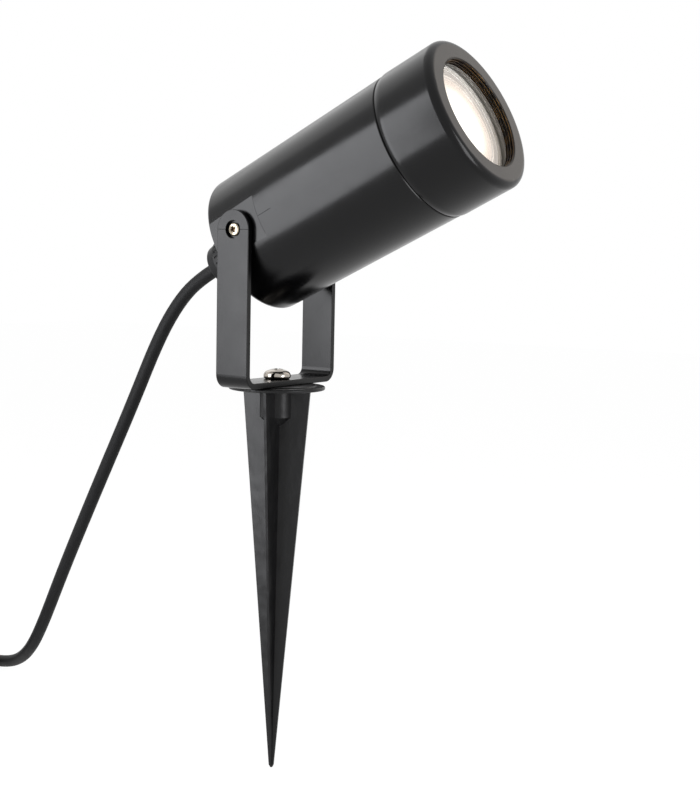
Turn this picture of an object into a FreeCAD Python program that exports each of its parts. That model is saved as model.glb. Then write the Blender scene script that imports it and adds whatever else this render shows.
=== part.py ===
import FreeCAD, Part
import math
import os

from FreeCAD import Vector

# Garden spike spotlight, in millimetres and degrees.
#
# The origin is on the spike's axis at the ground line, which is the underside of
# the spike's flange. +Z is up, +X is the way the head points, and the tilt axis
# runs along Y through the two pivot screws.
#
# Pieces of the head are drawn in the head's own frame and then set in place: S
# runs along the optical axis from the pivot towards the glass, Y is the tilt
# axis, N is square to both and points up. Threads are drawn as plain cylinders.

# ---------------------------------------------------------------- clearances
running_gap = 0.05      # radial, between a pin or neck and the hole that turns on it
thread_gap = 0.03       # radial, between a screw and the hole that it is driven into
loose_gap = 0.2         # radial, between a screw and a plain hole, and round lamp pins
wire_gap = 0.2          # radial, round an insulated wire
coil_gap = 0.45         # between neighbouring turns of the coil

# ---------------------------------------------------------------- head's pose
head_tilt = 26.0        # of the optical axis above the horizon, at rest
pivot_height = 68.0     # of the tilt axis above the ground line

# ---------------------------------------------------------------- housing
pivot_to_rear = 13.5
body_taper = 1.0        # on the radius, from the seam to the rear face
neck_wall = 2.6
rear_wall = 4.0
rear_edge_r = 2.0
wiring_room = 42.8      # from the rear wall to the strip that the lamp holder is on
pad_inset = 2.1         # of each pivot pad, inside the body's largest radius
pad_front = 12.7        # of each pad's step, ahead of the pivot
seam_gap = 0.5
seam_chamfer = 0.3
pivot_boss_d = 9.0
pivot_boss_length = 9.0
post_d = 8.0            # of the two posts that carry the lamp holder
post_sink = 0.4         # of each post into the bore's wall

# ---------------------------------------------------------------- front bezel
bezel_wall = 2.9        # round the neck
bezel_proud = 0.4       # that the bezel stands out from the body
bezel_length = 27.6     # from the seam to the front face
bezel_front_r = 3.0
bezel_step = 0.5        # that the bezel's rear edge is drawn in by
bezel_step_length = 2.6
opening_cover = 1.9     # that the bezel hides of the lamp's rim
opening_chamfer = 0.4
lip_thickness = 4.1
ridge_count = 3
ridge_depth = 0.5

# ---------------------------------------------------------------- glass and seals
glass_thickness = 3.0
glass_side_gap = 0.2
gasket_thickness = 1.4
o_ring_section = 1.3
o_ring_ahead = 3.0      # of the O-ring's groove, ahead of the seam
o_ring_groove = 1.8

# ---------------------------------------------------------------- lamp
lamp_d = 50.0
lamp_side_gap = 1.5     # from the lamp's rim to the bore
lamp_front_gap = 2.5    # from the lamp's rim to the glass
lamp_length = 48.6      # from rim to base, without its pins
lamp_rim = 3.8
lamp_base_d = 26.0
lamp_base_length = 8.0
lamp_wall = 1.4
lens_recess = 0.5
lens_thickness = 3.8
lens_seat = 1.6
lens_rebate = 0.4       # that the lens is let into the lamp's wall
lens_border = 5.0       # from the lamp's edge to the raised ring on its lens
lens_ring_height = 0.7
lens_ring_slope = 0.5   # across each side of the raised ring
lens_ring_top = 0.4     # across its top
lens_dip = 0.2          # of the dome's edge below the lens's flat border
board_depth = 18.8      # of the light board behind the rim
board_thickness = 1.6
board_seat = 2.0
chip_d = 2.4
chip_height = 0.8
chip_circle_d = 16.0
chip_count = 6          # round the one in the middle
driver_length = 24.0
driver_width = 18.0
driver_thickness = 1.6
pin_pitch = 10.0
pin_neck_d = 3.0
pin_neck_length = 4.2
pin_head_d = 5.0
pin_head_length = 2.8

# ---------------------------------------------------------------- lamp holder
holder_d = 28.0
holder_thickness = 13.0
holder_gap = 0.7        # from the holder's face to the lamp's base
lamp_twist = 25.0       # from locked to free
ledge_thickness = 3.3   # that the lamp's pin heads lock behind
pocket_depth = 4.0
contact_thickness = 0.5
contact_width = 4.0
contact_length = 13.0
strip_thickness = 1.2
strip_width = 12.0
strip_end_gap = 0.9
rivet_d = 3.0
rivet_head_d = 5.2
rivet_head_height = 1.0
rivet_pitch = 20.0
rivet_recess = 2.0

# ---------------------------------------------------------------- terminals and wires
terminal_share = 0.453  # of the room for wires that is behind the block
terminal_length = 12.0
terminal_width = 24.0
terminal_height = 10.0
terminal_inset = 10.0   # of the block's middle from the bore's wall
terminal_pitch = 8.0
terminal_screw_d = 3.6
terminal_screw_height = 1.0
slot_width = 0.6
slot_depth = 0.5
terminal_hole_d = 2.8
terminal_post_d = 5.2
core_d = 2.2
core_offset = 1.45      # of each core from the cable's middle
wire_side = 5.0         # of the holder's wires from the middle plane
wire_up = 8.5
wire_straight = 3.0     # from where a wire leaves a piece to its first bend
earth_loop = 8.0        # that the earth wire stands off the pieces that it joins
earth_inset = 9.0       # of the earth post's middle from the bore's wall
earth_post_d = 6.8
earth_post_end = 2.0
lug_thickness = 0.8
lug_d = 6.8

# ---------------------------------------------------------------- small screws
small_screw_d = 3.0
small_head_d = 5.6
small_head_height = 2.0
small_screw_length = 8.0
blind_end = 0.5         # that a screw hole goes on past its screw

# ---------------------------------------------------------------- gland
gland_hole_d = 16.0
gland_seal_d = 22.0
gland_seal_thickness = 1.5
gland_flats = 19.0
gland_hex_thickness = 4.5
gland_barrel_length = 9.5
gland_bore_d = 9.2
locknut_flats = 22.0
locknut_thickness = 4.6
nut_d = 20.6
nut_length = 15.3
nut_gap = 0.7           # between the nut and the gland's hexagon
barrel_gap = 0.3        # inside the nut, past the barrel's end
thread_past = 0.5       # that the gland's thread stands out of its locknut
nut_band = 5.0          # length of the smooth band at the nut's end
nut_end_d = 18.4
nut_end_r = 1.2
nut_edge = 0.6          # of its chamfers
nut_band_step = 0.5     # that the smooth band is drawn in by
nut_flutes = 24
nut_flute_r = 0.45
sleeve_d = 12.0
sleeve_length = 10.5
sleeve_in_barrel = 6.5

# ---------------------------------------------------------------- bracket and its screws
bar_width = 16.2
bar_thickness = 2.5
bend_r = 3.5            # inside each bend
bar_edge_r = 0.35
washer_d = 14.0
washer_thickness = 0.3
pivot_hole_d = 4.1
pivot_recess_d = 7.6
pivot_recess_depth = 1.6
pivot_head_height = 1.5

# ---------------------------------------------------------------- bolt and insert
bolt_d = 6.0
bolt_head_d = 12.0
bolt_head_height = 4.6
bolt_length = 16.0
insert_d = 8.4
insert_length = 10.0

# ---------------------------------------------------------------- spike
spike_length = 170.0
flange_d = 42.0
flange_thickness = 1.6
flange_edge_r = 0.6
pad_d = 34.0
pad_height = 0.4
rib_span = 30.8         # across two opposite ribs, under the flange
rib_edge = 1.2          # thickness of a rib's outer edge
rib_valley = 3.6        # from the spike's axis to where two ribs meet
rib_turn = 16.5         # of the ribs about the spike's axis
tip_span = 2.2
tip_edge = 0.8
tip_valley = 0.75
tip_length = 1.2
tip_share = 0.45        # of the tip's width that is left at its very end
boss_d = 14.6
boss_length = 12.0
boss_cone = 5.6
bolt_hole_depth = 13.0

# ---------------------------------------------------------------- cable
cable_d = 6.2
cable_length = 1500.0   # as sold, from gland to stripped end
tail_inside = 10.5      # of the sheath past the rear face, inside
end_core_length = 20.0
ferrule_d = 2.6
ferrule_length = 3.0
ferrule_tube_d = 1.5
ferrule_tube_length = 8.0
ferrule_spread = 0.2    # that each ferrule stands further out than its core
tie_width = 6.0
tie_thickness = 0.5
tie_gap = 0.35
tie_angle = 340.0       # of the tie round the coil, from +X

# Route of the free stretch, as X, Y, Z, between its straight ends at the gland and
# at the coil: down behind the spike, to the surface that the spike's tip stands on.
cable_route = [
    (-55.0, 0.0, 37.0),
    (-67.6, 0.0, 19.3),
    (-83.5, -0.5, -13.2),
    (-107.0, 0.6, -55.5),
    (-132.6, 4.6, -98.3),
    (-155.5, 11.0, -134.7),
    (-171.5, 17.5, -151.6),
    (-189.3, 24.8, -161.8),
]
cable_first_run = 12.0
coil_start = (-226.0, 28.5)     # where the free stretch meets the coil
cable_last_run = 18.3           # along the ground, straight into the coil
coil_inner_r = 26.45            # to the middle of the cable
turns_in = 2.75                 # of the lower layer
climb_turns = 0.5               # between the layers
turns_out = 2.25                # of the upper layer

# ---------------------------------------------------------------- derived places
bore_d = lamp_d + 2 * lamp_side_gap
neck_d = bore_d + 2 * neck_wall
bezel_d = neck_d + 2 * bezel_wall
body_front_d = bezel_d - 2 * bezel_proud
body_rear_d = body_front_d - 2 * body_taper
opening_d = lamp_d - 2 * opening_cover
lens_ring_d = lamp_d - 2 * lens_border
strip_length = bore_d - 2 * strip_end_gap
rear_s = -pivot_to_rear
rear_inside_s = rear_s + rear_wall
strip_back_s = rear_inside_s + wiring_room
holder_back_s = strip_back_s + strip_thickness
holder_front_s = holder_back_s + holder_thickness
lamp_base_s = holder_front_s + holder_gap
lamp_rim_s = lamp_base_s + lamp_length
glass_back_s = lamp_rim_s + lamp_front_gap
glass_front_s = glass_back_s + glass_thickness
neck_end_s = glass_back_s - gasket_thickness
front_s = glass_front_s + lip_thickness
seam_s = front_s - bezel_length
body_length = seam_s - rear_s
post_y = bore_d / 2 - post_d / 2 + post_sink
pad_y = body_front_d / 2 - pad_inset
arm_inner_y = pad_y + washer_thickness
arm_outer_y = arm_inner_y + bar_thickness
base_z = flange_thickness + pad_height
floor_z = -spike_length
hex_end_s = rear_s - gland_seal_thickness - gland_hex_thickness
nut_start_s = hex_end_s - nut_gap
nut_end_s = nut_start_s - nut_length
barrel_end_s = hex_end_s - gland_barrel_length
tail_end_s = rear_s + tail_inside
terminal_start = tail_end_s + terminal_share * (strip_back_s - tail_end_s - terminal_length)
terminal_up = bore_d / 2 - terminal_inset
earth_down = bore_d / 2 - earth_inset
coil_pitch = cable_d + coil_gap
coil_turns = turns_in + climb_turns + turns_out
coil_z = floor_z + cable_d / 2 + tie_thickness + tie_gap
AXIS_S = Vector(1, 0, 0)
AXIS_Z = Vector(0, 0, 1)


# ---------------------------------------------------------------- drawing helpers
def set_in_head(shape):
    """Moves a shape from the head's frame to the object's."""
    placed = shape.copy()
    placed.rotate(Vector(0, 0, 0), Vector(0, 1, 0), -head_tilt)
    placed.translate(Vector(0, 0, pivot_height))
    return placed


def head_point(s, y=0.0, n=0.0):
    """The object's X, Y, Z of a point given in the head's frame."""
    a = math.radians(head_tilt)
    return Vector(
        s * math.cos(a) - n * math.sin(a), y, pivot_height + s * math.sin(a) + n * math.cos(a)
    )


def aim(shape, place, direction):
    """Turns a shape drawn along +Z to a direction, and moves its origin to a place."""
    turned = shape.copy()
    rotation = FreeCAD.Rotation(AXIS_Z, Vector(*direction))
    turned.Placement = FreeCAD.Placement(Vector(*place), rotation).multiply(turned.Placement)
    return turned


def outline(start, *steps):
    """A closed face in the plane of the first and third axes. Each step is a point,
    reached by a straight line, or a pair of points, an arc through one to the other."""
    edges = []
    first = here = Vector(start[0], 0, start[1])
    for step in steps:
        if isinstance(step[0], tuple):
            through = Vector(step[0][0], 0, step[0][1])
            there = Vector(step[1][0], 0, step[1][1])
            edges.append(Part.Arc(here, through, there).toShape())
        else:
            there = Vector(step[0], 0, step[1])
            edges.append(Part.LineSegment(here, there).toShape())
        here = there
    edges.append(Part.LineSegment(here, first).toShape())
    return Part.Face(Part.Wire(edges))


def corner(centre, radius, start_angle, end_angle):
    """The step of an outline that rounds a corner, about a centre."""
    def at(angle):
        a = math.radians(angle)
        return centre[0] + radius * math.cos(a), centre[1] + radius * math.sin(a)

    return at((start_angle + end_angle) / 2), at(end_angle)


def dome(edge_r, edge_at, top_at):
    """The middle of an arc from (radius, place) up to the axis, which it meets square,
    and its top. Both are (radius, place)."""
    rise = top_at - edge_at
    sphere_r = (edge_r**2 + rise**2) / (2 * rise)
    half = math.asin(edge_r / sphere_r) / 2
    return (sphere_r * math.sin(half), top_at - sphere_r * (1 - math.cos(half))), (0, top_at)


def turned(start, *steps, axis=AXIS_S):
    """A solid of revolution of an outline, about the first axis or the third."""
    return outline(start, *steps).revolve(Vector(0, 0, 0), axis, 360)


def ring(inner_d, outer_d, start, end):
    """A plain ring or disc along S."""
    r0, r1 = inner_d / 2, outer_d / 2
    return turned((start, r0), (start, r1), (end, r1), (end, r0))


def rod_s(diameter, start, end, y=0.0, n=0.0):
    """A round rod along S."""
    return Part.makeCylinder(diameter / 2, end - start, Vector(start, y, n), AXIS_S)


def block(low, high):
    """A box between two corners."""
    size = [b - a for a, b in zip(low, high)]
    return Part.makeBox(*size, Vector(*low))


def hexagon(flats, start, end):
    """A hexagonal bar along S, with a corner up."""
    r = flats / math.sqrt(3)
    points = [
        Vector(start, r * math.sin(math.radians(60 * k)), r * math.cos(math.radians(60 * k)))
        for k in range(7)
    ]
    return Part.Face(Part.makePolygon(points)).extrude(Vector(end - start, 0, 0))


def cross_wire(z, span, edge, valley):
    """A closed cross of four tapering arms, at height z."""
    points = []
    for k in range(4):
        turn = math.radians(90 * k)
        for along, side in (
            (span / 2, -edge / 2),
            (span / 2, edge / 2),
            (valley / math.sqrt(2), valley / math.sqrt(2)),
        ):
            x = along * math.cos(turn) - side * math.sin(turn)
            y = along * math.sin(turn) + side * math.cos(turn)
            points.append(Vector(x, y, z))
    return Part.makePolygon(points + points[:1])


def cross_bar(*levels):
    """A solid cross through levels of (z, span, edge, valley)."""
    return Part.makeLoft([cross_wire(*level) for level in levels], True, True)


def pan_screw(thread_d, length, head_d, head_height):
    """A cross-head pan screw along Z, with its head's seat at the origin. The head's
    outline and its cross are shares of the head's radius and height."""
    r = head_d / 2
    h = head_height
    profile = turned(
        (0, -length),
        (thread_d / 2 - thread_chamfer(thread_d), -length),
        (thread_d / 2, -length + thread_chamfer(thread_d)),
        (thread_d / 2, 0),
        (r, 0),
        (r, 0.35 * h),
        ((0.9 * r, 0.68 * h), (0.66 * r, 0.87 * h)),
        dome(0.66 * r, 0.87 * h, h),
        axis=AXIS_Z,
    )
    recess = cross_bar(
        (h + 0.2, 1.12 * r, 0.3 * r, 0.3 * r),
        (0.25 * h, 0.5 * r, 0.2 * r, 0.16 * r),
    )
    return profile.cut(recess)


def thread_chamfer(thread_d):
    """The chamfer at the end of a screw's thread."""
    return 0.12 * thread_d


def arc_through(p0, tangent, p1):
    """The circular arc from p0, leaving along a tangent, to p1."""
    chord = p1 - p0
    c = Vector(chord).normalize()
    side = tangent - c * tangent.dot(c)
    if side.Length < 1e-7:
        return Part.LineSegment(p0, p1).toShape()
    angle = math.atan2(side.Length, tangent.dot(c))
    bulge = side.normalize() * (chord.Length / 2 * math.tan(angle / 2))
    return Part.Arc(p0, (p0 + p1) * 0.5 + bulge, p1).toShape()


def biarc(p0, t0, p1, t1):
    """Two tangent arcs that join two points with given directions."""
    v = p1 - p0
    t = t0 + t1
    k = 2 * (1 - t0.dot(t1))
    d = (math.sqrt(v.dot(t) ** 2 + k * v.dot(v)) - v.dot(t)) / k
    middle = (p0 + p1 + (t0 - t1) * d) * 0.5
    second = arc_through(p1, -t1, middle)
    return [arc_through(p0, t0, middle), second.reversed()]


def bent_path(points):
    """Straight runs with a tangent arc at each inner point. Returns the edges and
    the arcs' radii. Each arc takes up 0.45 of the shorter run beside it."""
    edges, radii = [], []
    here = points[0]
    for before, at, after in zip(points, points[1:], points[2:]):
        back, ahead = before - at, after - at
        take = 0.45 * min(back.Length, ahead.Length)
        back.normalize()
        ahead.normalize()
        half_turn = (math.pi - math.acos(max(-1.0, min(1.0, back.dot(ahead))))) / 2
        radius = take / math.tan(half_turn)
        start, end = at + back * take, at + ahead * take
        towards = (back + ahead).normalize()
        middle = at + towards * (radius / math.cos(half_turn) - radius)
        edges.append(Part.LineSegment(here, start).toShape())
        edges.append(Part.Arc(start, middle, end).toShape())
        radii.append(radius)
        here = end
    edges.append(Part.LineSegment(here, points[-1]).toShape())
    return edges, radii


def tube(edges, diameter):
    """A round tube along a path of edges."""
    path = Part.Wire(edges)
    start = edges[0].valueAt(edges[0].FirstParameter)
    direction = edges[0].tangentAt(edges[0].FirstParameter)
    section = Part.Wire(Part.Circle(start, direction, diameter / 2).toShape())
    return path.makePipeShell([section], True, False)


def bent_tube(points, diameter):
    """A round tube along straight runs and tangent arcs."""
    return tube(bent_path([Vector(*p) for p in points])[0], diameter)


def core_places():
    """Sideways places of three cores within the cable: live, neutral, earth."""
    return [
        (core_offset * math.cos(math.radians(a)), core_offset * math.sin(math.radians(a)))
        for a in (210, 330, 90)
    ]


# ---------------------------------------------------------------- head: casing
def housing():
    r0, r1 = body_rear_d / 2, body_front_d / 2
    bore_r, neck_r = bore_d / 2, neck_d / 2
    shoulder = seam_s - seam_gap / 2
    slope = (r1 - r0) / body_length
    edge_centre = (rear_s + rear_edge_r, r0 + slope * rear_edge_r - rear_edge_r)
    shell = turned(
        (rear_s, 0),
        (rear_s, edge_centre[1]),
        corner(edge_centre, rear_edge_r, 180, 90),
        (shoulder - seam_chamfer, r1 - slope * seam_chamfer),
        (shoulder, r1 - seam_chamfer),
        (shoulder, neck_r),
        (neck_end_s, neck_r),
        (neck_end_s, bore_r),
        (rear_inside_s, bore_r),
        (rear_inside_s, 0),
    )
    groove_start = seam_s + o_ring_ahead
    groove = ring(
        neck_d - 2 * o_ring_section - 2 * running_gap,
        neck_d + 1,
        groove_start,
        groove_start + o_ring_groove,
    )
    shell = shell.cut(groove)
    inside = []
    for side in (-1, 1):
        inside.append(rod_s(post_d, rear_inside_s, strip_back_s, y=side * post_y))
        boss_start = side * (pad_y - pivot_boss_length)
        inside.append(
            Part.makeCylinder(
                pivot_boss_d / 2, pivot_boss_length - 1, Vector(0, boss_start, 0), Vector(0, side, 0)
            )
        )
    inside.append(rod_s(terminal_post_d, rear_inside_s, terminal_start, terminal_pitch / 2, terminal_up))
    inside.append(rod_s(earth_post_d, rear_inside_s, earth_post_end, n=-earth_down))
    shell = shell.fuse(inside)
    cuts = [rod_s(gland_hole_d, rear_s - 1, rear_inside_s + 1)]
    reach = body_front_d
    screw_hole_d = small_screw_d + 2 * thread_gap
    for side in (-1, 1):
        near, far = sorted((side * pad_y, side * reach))
        cuts.append(block((rear_s - 1, near, -reach), (pad_front, far, reach)))
        cuts.append(
            Part.makeCylinder(
                screw_hole_d / 2,
                small_screw_length + blind_end,
                Vector(0, side * pad_y, 0),
                Vector(0, -side, 0),
            )
        )
        cuts.append(
            rod_s(screw_hole_d, strip_back_s - small_screw_length, strip_back_s + 1, y=side * post_y)
        )
    cuts.append(
        rod_s(
            screw_hole_d,
            terminal_start - small_screw_length,
            terminal_start + 1,
            terminal_pitch / 2,
            terminal_up,
        )
    )
    cuts.append(
        rod_s(screw_hole_d, earth_post_end - small_screw_length, earth_post_end + 1, n=-earth_down)
    )
    return shell.cut(cuts).removeSplitter()


def front_bezel():
    start = seam_s + seam_gap / 2
    r = bezel_d / 2
    bore_r = neck_d / 2 + running_gap
    opening_r = opening_d / 2
    flare = (bezel_step_length**2 + bezel_step**2) / (2 * bezel_step)
    middle_drop = flare - math.sqrt(flare**2 - (bezel_step_length / 2) ** 2)
    ridges = []
    ridged = lip_thickness - opening_chamfer
    pitch = ridged / ridge_count
    for k in range(ridge_count):
        top = front_s - opening_chamfer - k * pitch
        ridges.append((top - 0.25 * pitch, opening_r))
        ridges.append((top - 0.4 * pitch, opening_r + ridge_depth))
        ridges.append((top - 0.8 * pitch, opening_r + ridge_depth))
        ridges.append((top - 0.95 * pitch, opening_r))
    return turned(
        (start, bore_r),
        (start, r - bezel_step),
        ((start + bezel_step_length / 2, r - middle_drop), (start + bezel_step_length, r)),
        (front_s - bezel_front_r, r),
        corner((front_s - bezel_front_r, r - bezel_front_r), bezel_front_r, 90, 0),
        (front_s, opening_r + opening_chamfer),
        (front_s - opening_chamfer, opening_r),
        *ridges,
        (glass_front_s, opening_r),
        (glass_front_s, bore_r),
    )


def front_glass():
    d = neck_d - 2 * glass_side_gap
    return ring(0, d, glass_back_s, glass_front_s)


def glass_gasket():
    return ring(bore_d, neck_d - 2 * glass_side_gap, neck_end_s, glass_back_s)


def neck_o_ring():
    r = o_ring_section / 2
    middle_r = neck_d / 2 - running_gap - r
    place = Vector(seam_s + o_ring_ahead + o_ring_groove / 2, 0, 0)
    return Part.makeTorus(middle_r, r, place, AXIS_S)


# ---------------------------------------------------------------- head: lamp
def shell_radius(s):
    """The outer radius of the lamp's cone at a station."""
    cone_start = lamp_rim_s - lamp_rim - lens_seat
    cone_end = lamp_base_s + lamp_base_length
    share = (s - cone_end) / (cone_start - cone_end)
    return lamp_base_d / 2 + share * (lamp_d / 2 - lens_seat - lamp_base_d / 2)


def lamp_shell():
    rim_r, base_r = lamp_d / 2, lamp_base_d / 2
    rim_back = lamp_rim_s - lamp_rim
    cone_start = rim_back - lens_seat
    cone_end = lamp_base_s + lamp_base_length
    lens_back = lamp_rim_s - lens_recess - lens_thickness
    board_back = lamp_rim_s - board_depth - board_thickness
    lens_r = rim_r - lamp_wall + lens_rebate
    board_r = shell_radius(board_back) - lamp_wall
    shell = turned(
        (lamp_base_s, 0),
        (lamp_base_s, base_r),
        (cone_end, base_r),
        (cone_start, shell_radius(cone_start)),
        (rim_back, rim_r),
        (lamp_rim_s, rim_r),
        (lamp_rim_s, lens_r),
        (lens_back, lens_r),
        (lens_back, lens_r - lens_seat),
        (board_back + board_thickness, board_r),
        (board_back, board_r),
        (board_back, board_r - board_seat),
        (cone_end, base_r - lamp_wall),
        (lamp_base_s + lamp_wall, base_r - lamp_wall),
        (lamp_base_s + lamp_wall, 0),
    )
    return shell


def lamp_lens():
    front = lamp_rim_s - lens_recess
    back = front - lens_thickness
    r = lamp_d / 2 - lamp_wall + lens_rebate
    ring_r = lens_ring_d / 2
    face = front - lens_ring_height
    dome_edge = (face - lens_dip, ring_r - 2 * lens_ring_slope)
    middle, top = dome(dome_edge[1], dome_edge[0], front)
    return turned(
        (back, 0),
        (back, r),
        (face, r),
        (face, ring_r + lens_ring_slope),
        (front, ring_r + lens_ring_top / 2),
        (front, ring_r - lens_ring_top / 2),
        dome_edge,
        (middle[::-1], top[::-1]),
    )


def lamp_led_board():
    back = lamp_rim_s - board_depth - board_thickness
    d = 2 * (shell_radius(back) - lamp_wall)
    return ring(0, d, back, back + board_thickness)


def led_chips():
    front = lamp_rim_s - board_depth
    chips = [rod_s(chip_d, front, front + chip_height)]
    for k in range(chip_count):
        a = 2 * math.pi * k / chip_count
        y, n = chip_circle_d / 2 * math.cos(a), chip_circle_d / 2 * math.sin(a)
        chips.append(rod_s(chip_d, front, front + chip_height, y, n))
    return Part.makeCompound(chips)


def lamp_driver_board():
    start = lamp_base_s + lamp_wall
    half = driver_thickness / 2
    return block(
        (start, -half, -driver_width / 2), (start + driver_length, half, driver_width / 2)
    )


def lamp_pins():
    pins = []
    for side in (-1, 1):
        y = side * pin_pitch / 2
        neck_end = lamp_base_s - pin_neck_length
        neck = rod_s(pin_neck_d, neck_end, lamp_base_s, y=y)
        pins.append(neck.fuse(rod_s(pin_head_d, neck_end - pin_head_length, neck_end, y=y)))
    return Part.makeCompound(pins)


# ---------------------------------------------------------------- head: lamp holder
def arc_slot(width, start, end):
    """Two curved slots along S for the lamp's pins, from locked to free."""
    inner_d, outer_d = pin_pitch - width, pin_pitch + width
    full = ring(inner_d, outer_d, start, end)
    reach = outer_d
    slots = []
    for side in (0, 180):
        wedge_points = [Vector(start - 1, 0, 0)]
        for a in (side, side + lamp_twist):
            y, n = math.cos(math.radians(a)), math.sin(math.radians(a))
            wedge_points.append(Vector(start - 1, reach * y, reach * n))
            slots.append(rod_s(width, start, end, pin_pitch / 2 * y, pin_pitch / 2 * n))
        wedge = Part.Face(Part.makePolygon(wedge_points + wedge_points[:1]))
        slots.append(full.common(wedge.extrude(Vector(end - start + 2, 0, 0))))
    return slots[0].fuse(slots[1:])


def contact_boxes():
    """Where the two contacts lie, at the bottom of the pin pockets."""
    start = holder_front_s - ledge_thickness - pocket_depth
    low_n = wire_up + core_d - contact_length
    boxes = []
    for side in (-1, 1):
        y0, y1 = sorted((side * (wire_side - contact_width / 2), side * (wire_side + contact_width / 2)))
        boxes.append(
            block((start, y0, low_n), (start + contact_thickness, y1, low_n + contact_length))
        )
    return boxes


def holder_contacts():
    return Part.makeCompound(contact_boxes())


def lamp_holder():
    body = ring(0, holder_d, holder_back_s, holder_front_s)
    ledge_back = holder_front_s - ledge_thickness
    pocket_back = ledge_back - pocket_depth
    cuts = [
        arc_slot(pin_neck_d + 2 * loose_gap, ledge_back - 1, holder_front_s + 1),
        arc_slot(pin_head_d + 2 * loose_gap, pocket_back, ledge_back),
    ]
    cuts += contact_boxes()
    entry = math.radians(lamp_twist)
    for side in (-1, 1):
        cuts.append(
            rod_s(
                pin_head_d + 2 * loose_gap,
                ledge_back - 1,
                holder_front_s + 1,
                side * pin_pitch / 2 * math.cos(entry),
                side * pin_pitch / 2 * math.sin(entry),
            )
        )
        cuts.append(
            rod_s(core_d + 2 * wire_gap, holder_back_s - 1, pocket_back, side * wire_side, wire_up)
        )
        rivet_y = side * rivet_pitch / 2
        cuts.append(rod_s(rivet_d, holder_back_s - 1, holder_front_s, y=rivet_y))
        cuts.append(
            rod_s(
                rivet_head_d + 2 * loose_gap,
                holder_front_s - rivet_recess,
                holder_front_s + 1,
                y=rivet_y,
            )
        )
    return body.cut(cuts)


def holder_rivets():
    rivets = []
    for side in (-1, 1):
        y = side * rivet_pitch / 2
        seat = holder_front_s - rivet_recess
        rivets.append(
            rod_s(rivet_d, strip_back_s, seat, y=y).fuse(
                [
                    rod_s(rivet_head_d, strip_back_s - rivet_head_height, strip_back_s, y=y),
                    rod_s(rivet_head_d, seat, seat + rivet_head_height, y=y),
                ]
            )
        )
    return Part.makeCompound(rivets)


def holder_strip():
    half_y, half_n = strip_length / 2, strip_width / 2
    strip = block((strip_back_s, -half_y, -half_n), (holder_back_s, half_y, half_n))
    for side in (-1, 1):
        strip = strip.cut(
            [
                rod_s(small_screw_d + 2 * loose_gap, strip_back_s - 1, holder_back_s + 1, y=side * post_y),
                rod_s(rivet_d, strip_back_s - 1, holder_back_s + 1, y=side * rivet_pitch / 2),
            ]
        )
    return strip


def small_screw(place, direction, length):
    screw = pan_screw(small_screw_d, length, small_head_d, small_head_height)
    return aim(screw, place, direction)


def strip_screws():
    length = small_screw_length + strip_thickness - blind_end
    return Part.makeCompound(
        [small_screw((holder_back_s, side * post_y, 0), (1, 0, 0), length) for side in (-1, 1)]
    )


# ---------------------------------------------------------------- head: terminals and wires
def terminal_block():
    low_n = terminal_up - terminal_height / 2
    half = terminal_width / 2
    end = terminal_start + terminal_length
    body = block((terminal_start, -half, low_n), (end, half, low_n + terminal_height))
    cuts = []
    for k in (-1, 0, 1):
        cuts.append(
            rod_s(terminal_hole_d, terminal_start - 1, end + 1, k * terminal_pitch, terminal_up)
        )
    for y, s in terminal_screw_places():
        cuts.append(
            Part.makeCylinder(
                terminal_screw_d / 2 + loose_gap,
                terminal_screw_height,
                Vector(s, y, low_n + terminal_height - terminal_screw_height),
            )
        )
    cuts.append(
        rod_s(
            small_screw_d + 2 * loose_gap,
            terminal_start - 1,
            end + 1,
            terminal_pitch / 2,
            terminal_up,
        )
    )
    cuts.append(
        rod_s(
            small_head_d + 2 * loose_gap,
            end - small_head_height,
            end + 1,
            terminal_pitch / 2,
            terminal_up,
        )
    )
    return body.cut(cuts)


def terminal_screw_places():
    return [
        (k * terminal_pitch, terminal_start + share * terminal_length)
        for k in (-1, 0, 1)
        for share in (0.25, 0.75)
    ]


def terminal_screws():
    top = terminal_up + terminal_height / 2
    screws = []
    for y, s in terminal_screw_places():
        head = Part.makeCylinder(
            terminal_screw_d / 2, terminal_screw_height, Vector(s, y, top - terminal_screw_height)
        )
        slot = block(
            (s - terminal_screw_d, y - slot_width / 2, top - slot_depth),
            (s + terminal_screw_d, y + slot_width / 2, top + 1),
        )
        screws.append(head.cut(slot))
    return Part.makeCompound(screws)


def terminal_fixing_screw():
    seat = terminal_start + terminal_length - small_head_height
    length = seat - terminal_start + small_screw_length - blind_end
    return small_screw((seat, terminal_pitch / 2, terminal_up), (1, 0, 0), length)


def tail_core(index):
    """One core from the end of the sheath to its pole of the terminal block."""
    y0, n0 = core_places()[index]
    y1 = (-1, 1, 0)[index] * terminal_pitch
    return bent_tube(
        [
            (tail_end_s, y0, n0),
            (tail_end_s + wire_straight, y0, n0),
            (terminal_start - wire_straight, y1, terminal_up),
            (terminal_start + terminal_length / 2 - wire_gap, y1, terminal_up),
        ],
        core_d,
    )


def holder_wire(side):
    """A wire from the terminal block to a contact of the lamp holder."""
    end = terminal_start + terminal_length
    bottom = holder_front_s - ledge_thickness - pocket_depth
    return bent_tube(
        [
            (end - terminal_length / 2 + wire_gap, side * terminal_pitch, terminal_up),
            (end + wire_straight, side * terminal_pitch, terminal_up),
            (strip_back_s - wire_straight, side * wire_side, wire_up),
            (bottom, side * wire_side, wire_up),
        ],
        core_d,
    )


def earth_wire():
    end = terminal_start + terminal_length
    lug_top = earth_post_end + lug_thickness
    lug_n = -earth_down + lug_d / 2 + core_d
    return bent_tube(
        [
            (end - terminal_length / 2 + wire_gap, 0, terminal_up),
            (end + earth_loop, 0, terminal_up),
            (end + earth_loop, 0, -earth_down / 2),
            (lug_top + earth_loop, 0, lug_n),
            (lug_top, 0, lug_n),
        ],
        core_d,
    )


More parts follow.
